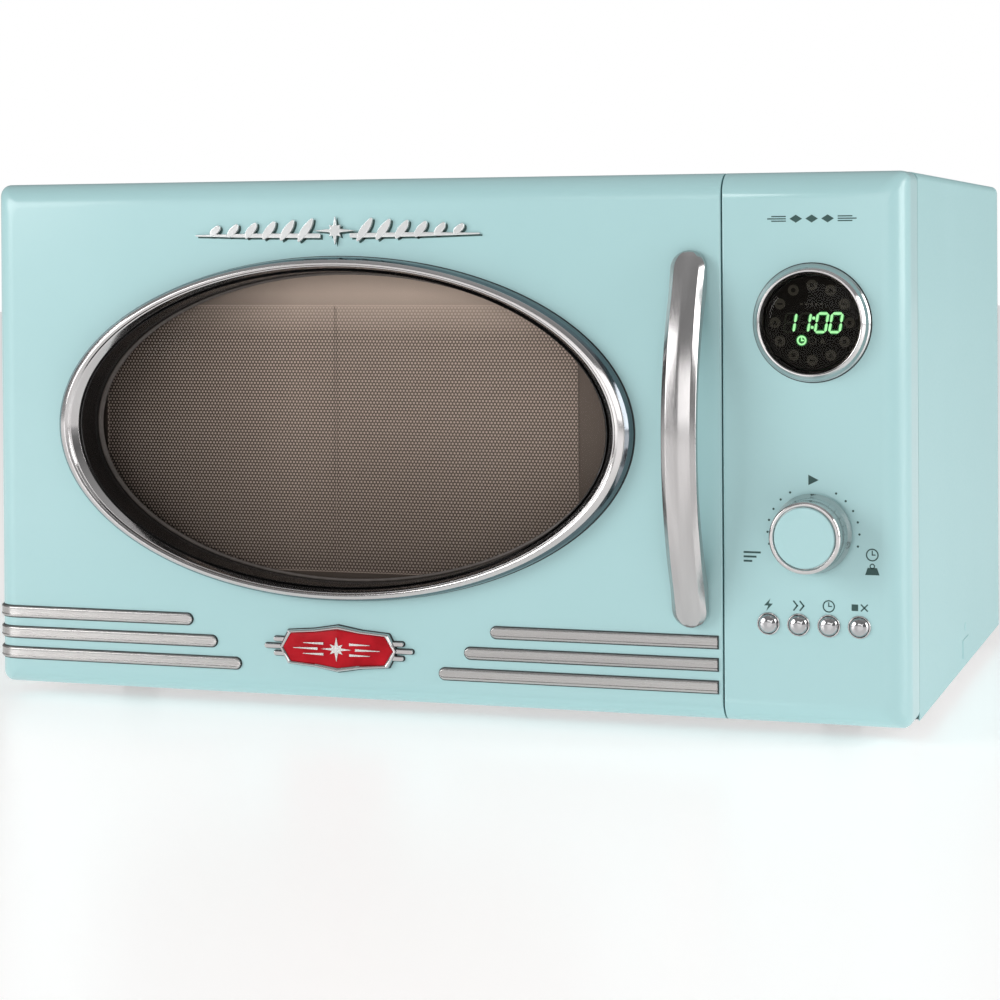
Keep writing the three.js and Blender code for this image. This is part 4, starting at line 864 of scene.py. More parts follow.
def front_moulding(name, side, material):
    """A rounded front shell with real walls, open at the back."""
    seam_round = 1.0
    steps = 18
    outside = []
    for k in range(steps + 1):
        turn = math.pi / 2 * k / steps
        depth = FRONT_ROUND * (1 - math.cos(turn))
        inset = FRONT_ROUND * (1 - math.sin(turn))
        lip = seam_round - math.sqrt(max(0.0, seam_round**2 - max(0.0, seam_round - depth) ** 2))
        outside.append(front_loop(side, FACE_Y + depth, inset, lip))
    outside += [front_loop(side, FACE_Y + d, 0, 0) for d in REAR]
    inner_round = FRONT_ROUND - WALL
    inside = [front_loop(side, FACE_Y + d, WALL, WALL) for d in (REAR[-1], REAR[1], REAR[0])]
    for k in range(8, -1, -1):
        turn = math.pi / 2 * k / 8
        depth = WALL + inner_round * (1 - math.cos(turn))
        inside.append(front_loop(side, FACE_Y + depth, WALL + inner_round * (1 - math.sin(turn)), WALL))
    if side < 0:
        last = outside[-1]
        inside[0] = [(max(x, lx + 0.3), y, z) if lx < DOOR_X0 + 12 else (x, y, z)
                     for (x, y, z), (lx, _, _) in zip(inside[0], last)]
    loops = outside + inside
    count = len(loops[0])
    verts = [p for loop in loops for p in loop]
    last = (len(loops) - 1) * count
    faces = [tuple(range(count)), tuple(range(last, last + count))] + skin(len(loops), count)
    return add_piece(name, verts, faces, material, weighted=False)


def carve(piece, cutters):
    for cutter in cutters:
        modifier = piece.modifiers.new("carve", "BOOLEAN")
        modifier.operation = "DIFFERENCE"
        modifier.solver = "EXACT"
        modifier.object = cutter
    apply_modifiers(piece)
    for cutter in cutters:
        bpy.data.objects.remove(cutter)
    one_finish(piece, piece.data.materials[0])
    piece.data.polygons.foreach_set("material_index", [0] * len(piece.data.polygons))
    shade(piece)


def cutter_rod(x, z, r, y0, y1, steps=64, squash=1.0):
    profile = [(0, y0), (r, y0), (r, y1), (0, y1)]
    return turned("cutter", profile, x, z, FINISH["dark_plastic"], steps, squash)


def cutter_box(*span):
    return add_piece("cutter", *box_mesh(*span), FINISH["dark_plastic"])


def make_door_panel():
    door = front_moulding("door_shell", -1, FINISH["enamel_front"])
    opening = RING_A - 8.5
    cutters = [cutter_rod(RING_X, RING_Z, opening, FACE_Y - 5, FACE_Y + 6, 160, OVAL)]
    for node in ("hinge_lower", "hinge_upper"):
        box = limits(node)
        z0, z1 = (box[4], box[4] + 2) if node == "hinge_lower" else (box[5] - 2, box[5])
        cutters.append(cutter_box(DOOR_X0 - 2, DOOR_X0 + 5.5, PIN_Y - 7, DOOR_Y1 + 1, z0 - 0.5, z1 + 0.5))
    carve(door, cutters)
    fit(door, "door", "enamel_front", "door_panel")


def make_control_panel():
    panel = front_moulding("control_fascia", 1, FINISH["enamel_front"])
    cutters = [
        cutter_rod(CONTROL_X, DISPLAY_Z, LENS_R + 3, FACE_Y - 4, FACE_Y + 6, 96),
        cutter_rod(CONTROL_X, KNOB_Z, 4.6, FACE_Y - 4, FACE_Y + 6, 40),
    ]
    cutters += [cutter_rod(*middle(box), 5.0, FACE_Y - 4, FACE_Y + 6, 48) for box in BUTTON_BOXES]
    carve(panel, cutters)
    fit(panel, "case", "enamel_front", "control_panel")


make_door_panel()
make_control_panel()

# ---- Door window -------------------------------------------------------------------------------


def oval_turned(name, profile, material, loop=True):
    return turned(name, profile, RING_X, RING_Z, material, 224, OVAL, loop)


def make_window():
    a = RING_A
    f = FACE_Y
    ring = oval_turned(
        "window_ring_chrome",
        eased([
            (a, f - 0.3), (a - 0.1, f - 2.4, 0.8), (a - 1.0, f - 5.8, 1.6), (a - 3.0, f - 8.0, 1.6),
            (a - 5.6, f - 8.9, 1.6), (a - 7.3, f - 8.6, 0.5), (a - 8.0, f - 7.6, 0.3),
            (a - 8.6, f - 7.6, 0.3), (a - 11.4, f - 4.6, 0.8), (a - 12, f - 3.6, 0.5), (a - 12, f + 5),
            (a - 9.5, f + 5), (a - 9.5, f - 0.3),
        ]),
        FINISH["chrome"],
    )
    # The ring's outer slope takes the dark chrome of the painted reflection.
    ring.data.materials.append(RING_PAINTED_REFLECTION)
    for face in ring.data.polygons:
        x, y, z = (c / MM for c in face.center)
        if y < f and math.hypot(x - RING_X, (z - RING_Z) / OVAL) > a - 2.4:
            face.material_index = 1
    fit(ring, "door", "chrome", "window_ring")
    # A painted shadow: a dark ring just outside the chrome ring, filed with the rubber parts.
    shadow_gap = oval_turned(
        "window_ring_shadow_gap",
        [(a + 0.55, f - 0.02), (a + 0.4, f - 0.3), (a - 0.6, f - 0.3), (a - 0.6, f - 0.02)],
        SHADOW_GAP_AND_REAR_FILM,
    )
    fit(shadow_gap, "door", "rubber")
    lip = a - 12.6
    recess = oval_turned(
        "window_recess_wall",
        eased([
            (lip, f - 4.2), (lip - 0.4, f - 4.9, 0.2), (lip - 0.8, f - 4.2, 0.2), (lip - 1.6, f + 12.0),
            (lip - 1.6, f + 13.5), (a - 5.0, f + 13.5), (a - 5.0, f + 5.6), (lip, f + 5.6),
        ]),
        RECESS_GLOSS,
    )
    flange = oval_turned(
        "window_recess_flange",
        eased([
            (lip - 1.7, f + 12.0), (lip - 2.4, f + 11.8, 0.2), (lip - 2.7, f + 12.3, 0.1),
            (lip - 3.7, f + 12.5, 0.2), (lip - 4.1, f + 13.0, 0.2), (lip - 4.1, f + 13.4), (lip - 1.7, f + 13.4),
        ]),
        RECESS_FLANGE,
    )
    fit(join_pieces("window_recess_shell", [recess, flange]), "door", "dark_plastic", "window_recess")
    glass_r = a - 5.2
    pane = oval_turned(
        "window_pane",
        eased([(0, f + 13.8), (glass_r, f + 13.8, 0.4), (glass_r, f + 16.7, 0.4), (0, f + 16.7)]),
        FINISH["clear_glass"],
        loop=False,
    )
    fit(pane, "door", "clear_glass", "window_glass")


def make_screen():
    """The door's perforated steel: a solid pan with a holed field set on a pale film, both sides. The steel and
    the front film carry painted shade, darker towards the bottom and the left.
    """
    pan = copy_of("door_screen", "screen_pan", FINISH["door_steel"], 0.3)
    fit(pan, "door", "door_steel", "door_screen")
    f = FACE_Y
    half_w, half_h, pitch = 129, 68, 1.8
    mid_x, mid_z = RING_X - 8, RING_Z - 6.5
    for turn, y, tag, share in ((0, f + 16.86, "front", 0.60), (math.pi, f + 18.42, "rear", 0.5)):
        for side, tag_side in ((-1, "left"), (1, "right")):
            centre = (mid_x + side * half_w / 2, y, mid_z)
            field = PERFORATIONS.grow(
                f"screen_holes_{tag}_{tag_side}", [centre], FINISH["door_steel"], Width=half_w * MM,
                Height=2 * half_h * MM, Pitch=pitch * MM, Hole_Share=share, Thickness=0.08 * MM,
            )
            if turn:
                field.data.transform(
                    Matrix.Translation(Vector(centre) * MM) @ Matrix.Rotation(turn, 4, "Z")
                    @ Matrix.Translation(Vector(centre) * -MM)
                )
            shade(field, 30, weighted=False)
            fit(field, "door", "door_steel")
    span = (mid_x - half_w - 0.4, mid_x + half_w + 0.4)
    rise = (mid_z - half_h - 0.4, mid_z + half_h + 0.4)
    film = add_piece("screen_film_front", *box_mesh(*span, f + 16.98, f + 17.06, *rise), SCREEN_DOT_PAINTED_SHADE)
    fit(film, "door", "white_plastic")
    # The rear film takes the same dark as the painted shadow gaps.
    film = add_piece("screen_film_rear", *box_mesh(*span, f + 18.14, f + 18.3, *rise), SHADOW_GAP_AND_REAR_FILM)
    fit(film, "door", "dark_plastic")
    choke = copy_of("choke_cover", "choke_frame", FINISH["dark_plastic"], 0.4)
    fit(choke, "door", "dark_plastic", "choke_cover")


make_window()
make_screen()

# ---- Handle ------------------------------------------------------------------------------------


def arc_through(mid, half, base, rise):
    """Depth of a bow at a height: base at both ends, base - rise in the middle."""
    radius = (half * half + rise * rise) / (2 * rise)

    def depth(z):
        d = min(abs(z - mid), half)
        return base - (math.sqrt(radius * radius - d * d) - (radius - rise))

    return depth


def make_handle():
    x0, x1, y0, _, z0, z1 = limits("handle")
    centre_x, half_w = (x0 + x1) / 2, (x1 - x0) / 2
    mid, half = (z0 + z1) / 2, (z1 - z0) / 2
    pad = 24
    tip = 3
    reach = FACE_Y - y0
    front = arc_through(mid, half, FACE_Y - 5, reach - 5)
    back = arc_through(mid, half - pad + 4, FACE_Y - 0.3, reach - 7.3)
    section = eased([
        (-1.0, 0.62), (-1.0, 0.36, 0.10), (-0.70, 0.09, 0.10), (0.0, 0.0, 1.2), (0.70, 0.09, 0.10),
        (1.0, 0.36, 0.10), (1.0, 0.86, 0.10), (0.86, 1.0, 0.10), (-0.86, 1.0, 0.10), (-1.0, 0.86, 0.1),
        (-1.0, 0.62),
    ])[:-1]
    stations = []
    tip_steps, body_steps = 14, 90
    heights = [z0 + half_w * (1 - math.cos(math.pi / 2 * (k + 0.35) / tip_steps)) for k in range(tip_steps)]
    low, high = z0 + half_w, z1 - half_w
    heights += [low + (high - low) * k / body_steps for k in range(body_steps + 1)]
    heights += [z0 + z1 - z for z in reversed(heights[:tip_steps])]
    for z in heights:
        from_tip = min(z - z0, z1 - z)
        share = min(from_tip / half_w, 1)
        width = half_w * math.sqrt(max(1 - (1 - share) ** 2, 0))
        y_front = front(z)
        if from_tip < tip:
            y_front += 1.5 * (1 - math.sqrt(max(0.0, 1 - (1 - from_tip / tip) ** 2)))
        y_back = FACE_Y - 0.3 if from_tip < pad - 4 else back(z)
        front_point = Vector((centre_x, y_front, z))
        stations.append((front_point, Vector((1, 0, 0)), Vector((0, 1, 0)), width, y_back - y_front))
    handle = swept_bar("door_handle", stations, section, HANDLE_SATIN)
    fit(handle, "door", "chrome", "handle")


make_handle()

# ---- Strips, badge and ornament ----------------------------------------------------------------


def skin_point(x, proud):
    """Where the door's front skin, grown by proud, lies at a run to the left of its flat face:
    x below the rounding's start follows the arc and then the side wall."""
    start = DOOR_X0 + FRONT_ROUND
    if x >= start:
        return Vector((x, FACE_Y - proud, 0)), Vector((0, -1, 0))
    arc = FRONT_ROUND * math.pi / 2
    along = start - x
    if along < arc:
        turn = along / FRONT_ROUND
        out = Vector((-math.sin(turn), -math.cos(turn), 0))
        return Vector((start, FACE_Y + FRONT_ROUND, 0)) + out * (FRONT_ROUND + proud), out
    return Vector((DOOR_X0 - proud, FACE_Y + FRONT_ROUND + along - arc, 0)), Vector((-1, 0, 0))


def strip_bar(name, x_end, x_far, z, height, back, proud, material, ridge):
    """A round-ended strip from its end near the middle to its far end, which may run past the
    rounded corner; ridge gives it a raised rim round a sunk middle."""
    half = height / 2
    sign = 1 if x_far > x_end else -1
    runs = [x_end + sign * half * (1 - math.cos(math.pi / 2 * (k + 0.3) / 10)) for k in range(10)]
    span = abs(x_far - x_end) - half
    count = max(12, int(span / 2.5))
    runs += [x_end + sign * (half + span * k / count) for k in range(count + 1)]
    stations = []
    for x in runs:
        base, out = skin_point(x, back)
        share = min(abs(x - x_end) / half, 1)
        width = half * math.sqrt(max(1 - (1 - share) ** 2, 0.0004))
        stations.append((base + Vector((0, 0, z)), Vector((0, 0, 1)), out, width, proud - back))
    if ridge:
        section = eased([
            (-1.0, 0.0), (-1.0, 0.5, 0.22), (-0.80, 0.86, 0.12), (-0.62, 0.92, 0.05), (-0.50, 0.70, 0.05),
            (0.50, 0.70, 0.05), (0.62, 0.92, 0.05), (0.80, 0.86, 0.12), (1.0, 0.5, 0.22), (1.0, 0.0),
        ], 3)
    else:
        section = [(-1, 0), (-1, 1), (1, 1), (1, 0)]
    return swept_bar(name, stations, section, material)


def make_strips():
    wrapped = FRONT_ROUND * (math.pi / 2 - 1)
    for level in ("upper", "middle", "lower"):
        for side, sign in (("left", 1), ("right", -1)):
            node = f"strip_{side}_{level}"
            x0, x1, _, y1, z0, z1 = limits(node)
            z, height = (z0 + z1) / 2, z1 - z0
            end, far = (x1, DOOR_X0 + FRONT_ROUND - (wrapped + y1 - FACE_Y)) if sign > 0 else (x0, x1)
            bar = strip_bar(f"trim_{node}", end, far, z, height, 0.3, 1.5, FINISH["satin_trim"], True)
            fit(bar, "door", "satin_trim", node)
            # A painted shadow: a dark strip a little larger than the trim, under it, filed with the rubber
            # parts.
            shadow_gap = strip_bar(
                f"strip_shadow_gap_{side}_{level}", end + sign * 0.5, far - sign * 0.5, z, height + 1.0, 0.02, 0.32,
                SHADOW_GAP_AND_REAR_FILM, False,
            )
            fit(shadow_gap, "door", "rubber")


def plaque_outline(centre_x, centre_z, w, h):
    points = [(w, 0), (0.86 * w, 0.72 * h), (0.4 * w, 0.82 * h), (0, h)]
    top = points + [(-a, b) for a, b in reversed(points[:3])]
    whole = top + [(a, -b) for a, b in reversed(top[1:-1])]
    whole = eased([(a, b, 1.0) for a, b in whole] + [(*whole[0],)], 3)[1:]
    return [(centre_x + a, centre_z + b) for a, b in whole]


def stacked(name, loops, material, angle=32, solid=True):
    """A piece from matching outlines, each (points in X and Z, y): solid, or a frame that closes
    on itself."""
    count = len(loops[0][0])
    verts = [(x, y, z) for outline, y in loops for x, z in outline]
    faces = skin(len(loops), count, loop=not solid)
    if solid:
        last = (len(loops) - 1) * count
        faces += [tuple(range(count)), tuple(range(last, last + count))]
    return add_piece(name, verts, faces, material, angle, weighted=False)


def star(cx, cz, rays, wide=1.0, tall=1.0):
    """A sixteen-pointed outline whose points are as far out as the rays in turn."""
    lengths = rays * (16 // len(rays))
    return [(cx + wide * ray * c, cz + tall * ray * s) for ray, (c, s) in zip(lengths, circle(16))]


class PrintedSheet:
    """Flat printed or raised shapes gathered into one thin piece, each drawn about the sheet's origin."""

    def __init__(self, y_front, y_back):
        self.y = (y_front, y_back)
        self.verts = []
        self.faces = []
        self.about(0, 0)

    def about(self, x, z, zoom=1.0):
        """Sets the origin, and how much larger what follows is drawn."""
        self.x, self.z, self.zoom = x, z, zoom
        return self

    def shape(self, outline):
        start, count = len(self.verts), len(outline)
        for y in self.y:
            self.verts += [(self.x + self.zoom * x, y, self.z + self.zoom * z) for x, z in outline]
        self.faces.append(tuple(start + k for k in range(count)))
        self.faces.append(tuple(start + count + k for k in reversed(range(count))))
        self.faces += [tuple(start + i for i in reversed(face)) for face in skin(2, count)]

    def bar(self, x0, x1, z0, z1):
        self.shape([(x0, z0), (x1, z0), (x1, z1), (x0, z1)])

    def line(self, a, b, width):
        along = (Vector(b) - Vector(a)).normalized() * (width / 2)
        n = Vector((-along.y, along.x))
        p, q = Vector(a) - along, Vector(b) + along
        self.shape([tuple(p - n), tuple(q - n), tuple(q + n), tuple(p + n)])

    def disc(self, x, z, r, steps):
        self.shape([(x + r * c, z + r * s) for c, s in circle(steps)])

    def ring(self, x, z, r, width, steps=24):
        spots = circle(steps)
        for (c0, s0), (c1, s1) in zip(spots, spots[1:] + spots[:1]):
            inner, outer = r - width / 2, r + width / 2
            self.shape([(x + inner * c0, z + inner * s0), (x + outer * c0, z + outer * s0),
                        (x + outer * c1, z + outer * s1), (x + inner * c1, z + inner * s1)])

    def clock(self, z, r, width, up, right, hand):
        """A dial with two hands about (0, z)."""
        self.ring(0, z, r, width)
        self.line((0, z), (0, z + up), hand)
        self.line((0, z), (right, z), hand)

    def make(self, name, material):
        return add_piece(name, self.verts, self.faces, material, weighted=False)


BADGE_HALF_W = 63.5 / 2
BADGE_RIM = 2.2
BADGE_CROWN = 1.5
BADGE_BARS = ((1, 35.2), (0, 40.2), (-1, 35.2))  # row, reach from the middle


def make_badge():
    box = limits("badge_surround")
    cx, cz = middle(box)
    y0, w, h = box[2], BADGE_HALF_W, (box[5] - box[4]) / 2
    back = FACE_Y - 0.1

    def outline(grow):
        return plaque_outline(cx, cz, w + grow, h + grow)

    surround = stacked(
        "badge_frame",
        [(outline(0), back), (outline(0), y0 + 1.1), (outline(-0.35), y0 + 0.35), (outline(-0.95), y0),
         (outline(-BADGE_RIM + 0.75), y0 + 0.05), (outline(-BADGE_RIM + 0.2), y0 + 0.5),
         (outline(-BADGE_RIM), y0 + 1.2), (outline(-BADGE_RIM), back)],
        FINISH["chrome"], solid=False,
    )
    fit(surround, "door", "chrome", "badge_surround")
    bars = []
    # A painted shadow outline round the plaque and behind the wing bars, filed with the rubber parts.
    shadow_gap = PrintedSheet(FACE_Y - 0.25, FACE_Y - 0.02)
    shadow_gap.shape(outline(0.5))
    for row, reach in BADGE_BARS:
        z = cz + row * 3.6
        for side in (-1, 1):
            ends = sorted((cx + side * (w - 4), cx + side * reach))
            shape = rounded_outline(*ends, z - 1.1, z + 1.1, 1.0)
            bars.append(plate(f"badge_bar_{row}_{side}", shape, FACE_Y - 1.9, back, FINISH["chrome"], 0.35))
        shadow_gap.shape(rounded_outline(cx - reach - 0.5, cx + reach + 0.5, z - 1.55, z + 1.55, 1.5))
    fit(join_pieces("badge_wings", bars), "door", "chrome")
    fit(shadow_gap.make("badge_shadow_gap", SHADOW_GAP_AND_REAR_FILM), "door", "rubber")
    inside = outline(-BADGE_RIM)
    crown = []
    for k in range(11):
        share = math.sin(math.pi / 2 * (k + 0.05) / 10.05)
        lift = BADGE_CROWN * (1 - share**2.2)
        crown.append(([(cx + (x - cx) * share, cz + (z - cz) * share) for x, z in inside], y0 + 0.75 - lift))
    insert = stacked("badge_red_insert", crown + [(inside, back)], FINISH["red_enamel"], 50)
    fit(insert, "door", "red_enamel", "badge_insert")
    top = y0 + 0.75 - BADGE_CROWN
    motif = PrintedSheet(top - 0.22, top + 0.9)
    motif.shape(star(cx, cz, (6.6, 2.0, 3.9, 2.0), wide=1.25, tall=0.92))
    for side in (-1, 1):
        for row, start, stop in ((1, 7.0, 18.0), (0, 10.2, 23.4), (-1, 7.0, 18.0)):
            z = cz + row * 2.7
            motif.shape([(cx + side * start, z - 0.62), (cx + side * stop, z - 0.12),
                         (cx + side * stop, z + 0.12), (cx + side * start, z + 0.62)])
    fit(motif.make("badge_motif", BADGE_SILVER), "door", "satin_trim")


LEAVES = 6
LEAF_PITCH = 10


def make_ornament():
    """A star with a tapering base line and slanted leaves to both sides, over its own edge shadow."""
    box = limits("emblem")
    cx, cz = middle(box)
    y0, half = box[2], (box[1] - box[0]) / 2
    shapes = [(star(cx, cz, (12.0, 2.6, 4.4, 2.6, 7.4, 2.6, 4.4, 2.6)), y0)]
    base = [(8, -3.7), (0.6 * half, -3.3), (half, -2.4), (half, -1.6), (0.6 * half, -1.1), (8, -1.3)]
    for side in (-1, 1):
        shapes.append(([(cx + side * a, cz + b) for a, b in base], y0 + 0.4))
        for k in range(LEAVES):
            stem, tall = cx + side * (16 + LEAF_PITCH * k), 12 - 1.25 * k
            leaf = [
                (stem + 0.32 * tall * c + 2.5 * s * (1 - 0.35 * c * c), cz + 0.4 + 0.5 * tall * c)
                for c, s in circle(20)
            ]
            shapes.append((leaf, y0 + 0.1))
    # Painted drop shadow: the ornament's shapes again, shifted right and down, in dark green.
    shadow = PrintedSheet(FACE_Y - 0.12, FACE_Y - 0.02).about(0.75, -0.85)
    parts = []
    for i, (outline, front) in enumerate(shapes):
        shadow.shape(outline)
        parts.append(plate(f"ornament_{i}", outline, front, FACE_Y - 0.1, ORNAMENT_CHROME, 0.45, 30))
    fit(join_pieces("door_ornament", parts), "door", "chrome", "emblem")
    fit(shadow.make("ornament_shadow", PRINT_AND_SHADOW_GREEN), "door", "dark_plastic")


make_strips()
make_badge()
make_ornament()

# ---- Display -----------------------------------------------------------------------------------


DIGIT_TALL, DIGIT_WIDE, DIGIT_THICK, DIGIT_GAP = 8.8, 4.9, 1.15, 0.12
DIGIT_LEAN = math.tan(math.radians(10))
HALO = 0.55  # how far the glow's edge stands out round a lit stroke
ICON_ROW = -8.4
ICON_RING_R = 17.8
SEGMENTS = {  # ends as shares of the half width and half height
    "a": ((-1, 1), (1, 1)), "g": ((-1, 0), (1, 0)), "d": ((-1, -1), (1, -1)), "f": ((-1, 0), (-1, 1)),
    "b": ((1, 0), (1, 1)), "e": ((-1, -1), (-1, 0)), "c": ((1, -1), (1, 0)),
}


def make_display():
    f = FACE_Y
    box = limits("display_bezel")
    bezel_r = (box[1] - box[0]) / 2
    inner = LENS_R + 0.3
    bezel = turned(
        "display_rim",
        eased([
            (inner, f + 6), (inner, f - 3.6), (inner + 0.25, f - 4.5, 0.3), (inner + 1.5, f - 6.9, 0.7),
            (inner + 2.3, f - 7.0, 0.4), (inner + 3.6, f - 5.4, 1.2), (inner + 4.5, f - 2.4, 1.4),
            (bezel_r - 0.15, f - 1.5, 0.4), (bezel_r, f - 0.3), (LENS_R + 2.5, f - 0.3), (LENS_R + 2.5, f + 6),
        ]),
        CONTROL_X, DISPLAY_Z, FINISH["chrome"], 128, loop=True,
    )
    fit(bezel, "case", "chrome", "display_bezel")
    # A painted shadow: a dark ring just outside the display rim, filed with the rubber parts.
    shadow_gap = turned(
        "display_rim_shadow_gap",
        [(bezel_r + 0.4, f - 0.02), (bezel_r + 0.3, f - 0.3), (bezel_r - 0.8, f - 0.3),
         (bezel_r - 0.8, f - 0.02)],
        CONTROL_X, DISPLAY_Z, SHADOW_GAP_AND_REAR_FILM, 128, loop=True,
    )
    fit(shadow_gap, "case", "rubber")
    lens = turned(
        "display_cover",
        eased([
            (0, f - 3.6), (LENS_R * 0.5, f - 3.4, 6), (LENS_R * 0.85, f - 2.8, 4), (LENS_R, f - 2.0),
            (LENS_R, f - 1.2), (0, f - 1.2),
        ]),
        CONTROL_X, DISPLAY_Z, LENS_GLASS, 96,
    )
    fit(lens, "case", "display_black", "display_lens")
    card = turned(
        "display_card",
        [(0, f - 0.2), (LENS_R - 0.2, f - 0.2), (LENS_R - 0.2, f + 1.4), (0, f + 1.4)],
        CONTROL_X, DISPLAY_Z, FINISH["display_black"], 96,
    )
    fit(card, "case", "display_black")
    make_display_marks()


def display_sheet(proud):
    return PrintedSheet(FACE_Y - proud, FACE_Y - 0.24).about(CONTROL_X, DISPLAY_Z)


def make_display_marks():
    """The lit time and its glow, and the unlit strokes and icons round it, the icons with a faint painted glow.
    """
    lit, halo, dim = display_sheet(0.46), display_sheet(0.33), display_sheet(0.38)
    for cx, on in ((-10.6, "bc"), (-3.7, "bc"), (4.6, "abcdef"), (11.4, "abcdef")):
        for key, ends in SEGMENTS.items():
            p, q = (Vector((a * DIGIT_WIDE / 2, b * DIGIT_TALL / 2)) for a, b in ends)
            unit = (q - p).normalized()
            a, b = p + unit * DIGIT_GAP, q - unit * DIGIT_GAP
            half = DIGIT_THICK / 2
            for sheet, t in ((lit, half), (halo, half + HALO)) if key in on else ((dim, half - 0.1),):
                n = Vector((-unit.y, unit.x)) * t
                corners = [a, a + unit * t - n, b - unit * t - n, b, b - unit * t + n, a + unit * t + n]
                sheet.shape([(cx + c.x + DIGIT_LEAN * c.y, c.y) for c in corners])
    for dz in (-2.2, 2.2):
        lit.disc(0.45 + DIGIT_LEAN * dz, dz, 0.75, 14)
    halo.disc(-5, ICON_ROW, 2.8, 24)
    lit.about(CONTROL_X - 5, DISPLAY_Z)
    lit.clock(ICON_ROW, 1.9, 0.8, 1.2, 0.9, 0.6)
    fit(lit.make("display_lit_marks", LIT_GREEN), "case", "display_black")
    fit(halo.make("display_lit_edges", LIT_HALO), "case", "display_black")
    fit(dim.make("display_unlit_segments", DIM_SEGMENT), "case", "display_black")
    icons, signs = display_sheet(0.34), display_sheet(0.40)
    for k in range(5):
        icons.bar(2.4 * k - 5.8, 2.4 * k - 4.4, 8.4, 9.2)
    icons.ring(0, ICON_ROW, 1.7, 0.45)
    icons.shape([(3.6, ICON_ROW - 1.4), (6.4, ICON_ROW - 1.4), (5, ICON_ROW + 1.6)])
    for k, (c, s) in enumerate(circle(12)):
        x, z = ICON_RING_R * c, ICON_RING_R * s
        icons.disc(x, z, 2.6, 24)
        if k % 4 == 0:
            signs.disc(x, z, 1.1, 12)
        elif k % 4 == 1:
            signs.bar(x - 1.3, x + 1.3, z - 0.4, z + 0.4)
        elif k % 4 == 2:
            signs.shape([(x - 1.3, z - 1.0), (x + 1.3, z - 1.0), (x, z + 1.3)])
        else:
            signs.bar(x - 0.9, x + 0.9, z - 0.9, z + 0.9)
    fit(signs.make("display_icon_signs", FINISH["display_black"]), "case", "display_black")
    # The unlit icons, with their faint painted glow.
    fit(icons.make("display_unlit_icons", DIM_ICON_PAINTED_GLOW), "case", "display_black")


# ---- Knob and buttons --------------------------------------------------------------------------


def make_knob():
    base, front = KNOB[3], KNOB[2]
    r = (KNOB[1] - KNOB[0]) / 2
    knob = turned(
        "selector_knob",
        eased([
            (3.4, base), (r - 0.5, base, 0.3), (r, base - 0.5, 0.4), (r - 0.05, base - 1.3, 0.6),
            (r - 1.7, base - 4.2, 3.0), (r - 2.25, base - 9, 5), (r - 2.1, front + 1.9, 1.0),
            (r - 2.1, front + 0.8, 0.5), (r - 2.9, front, 0.7), (r - 3.9, front + 0.02, 0.3),
            (r - 4.3, front + 0.5, 0.2), (r - 4.3, front + 2.4), (0, front + 2.4),
        ]),
        CONTROL_X, KNOB_Z, FINISH["chrome"], 128, angle=24,
    )
    fit(knob, "knob", "chrome", "knob")
    cap_r = r - 4.6
    cap = turned(
        "knob_face",
        eased([
            (0, front - 0.4), (cap_r * 0.7, front - 0.28, 4), (cap_r - 0.5, front - 0.02, 0.5),
            (cap_r, front + 0.6), (cap_r, front + 2.1), (0, front + 2.1),
        ]),
        CONTROL_X, KNOB_Z, FINISH["enamel_front"], 96,
    )
    fit(cap, "knob", "enamel_front", "knob_cap")


BUTTON_R = 4.65


def make_buttons():
    for i, box in enumerate(BUTTON_BOXES, 1):
        x, z = middle(box)
        r, front, back = BUTTON_R, box[2], box[3]
        button = turned(
            f"push_button_{i}",
            eased([
                (0, front), (r * 0.45, front + 0.22, 2), (r * 0.8, front + 0.95, 1.6),
                (r - 0.12, front + 2.0, 0.8), (r, front + 2.8), (r, back - 9), (2.2, back - 9), (2.2, back),
                (0, back),
            ]),
            x, z, BUTTON_CHROME, 56,
        )
        fit(button, f"button_{i}", "chrome", f"button_{i}")
        rim = turned(
            f"button_rim_{i}",
            eased([
                (r + 0.12, FACE_Y + 2.5), (r + 0.12, FACE_Y - 0.7, 0.2), (r + 0.4, FACE_Y - 0.95, 0.2),
                (r + 0.75, FACE_Y - 0.6, 0.2), (r + 0.85, FACE_Y - 0.02), (r + 0.3, FACE_Y - 0.02),
                (r + 0.3, FACE_Y + 2.5),
            ]),
            x, z, FINISH["chrome"], 56, loop=True,
        )
        fit(rim, "case", "chrome")


SCALE_R = 22  # the ring of dots round the knob
SCALE_STEP = math.radians(15)


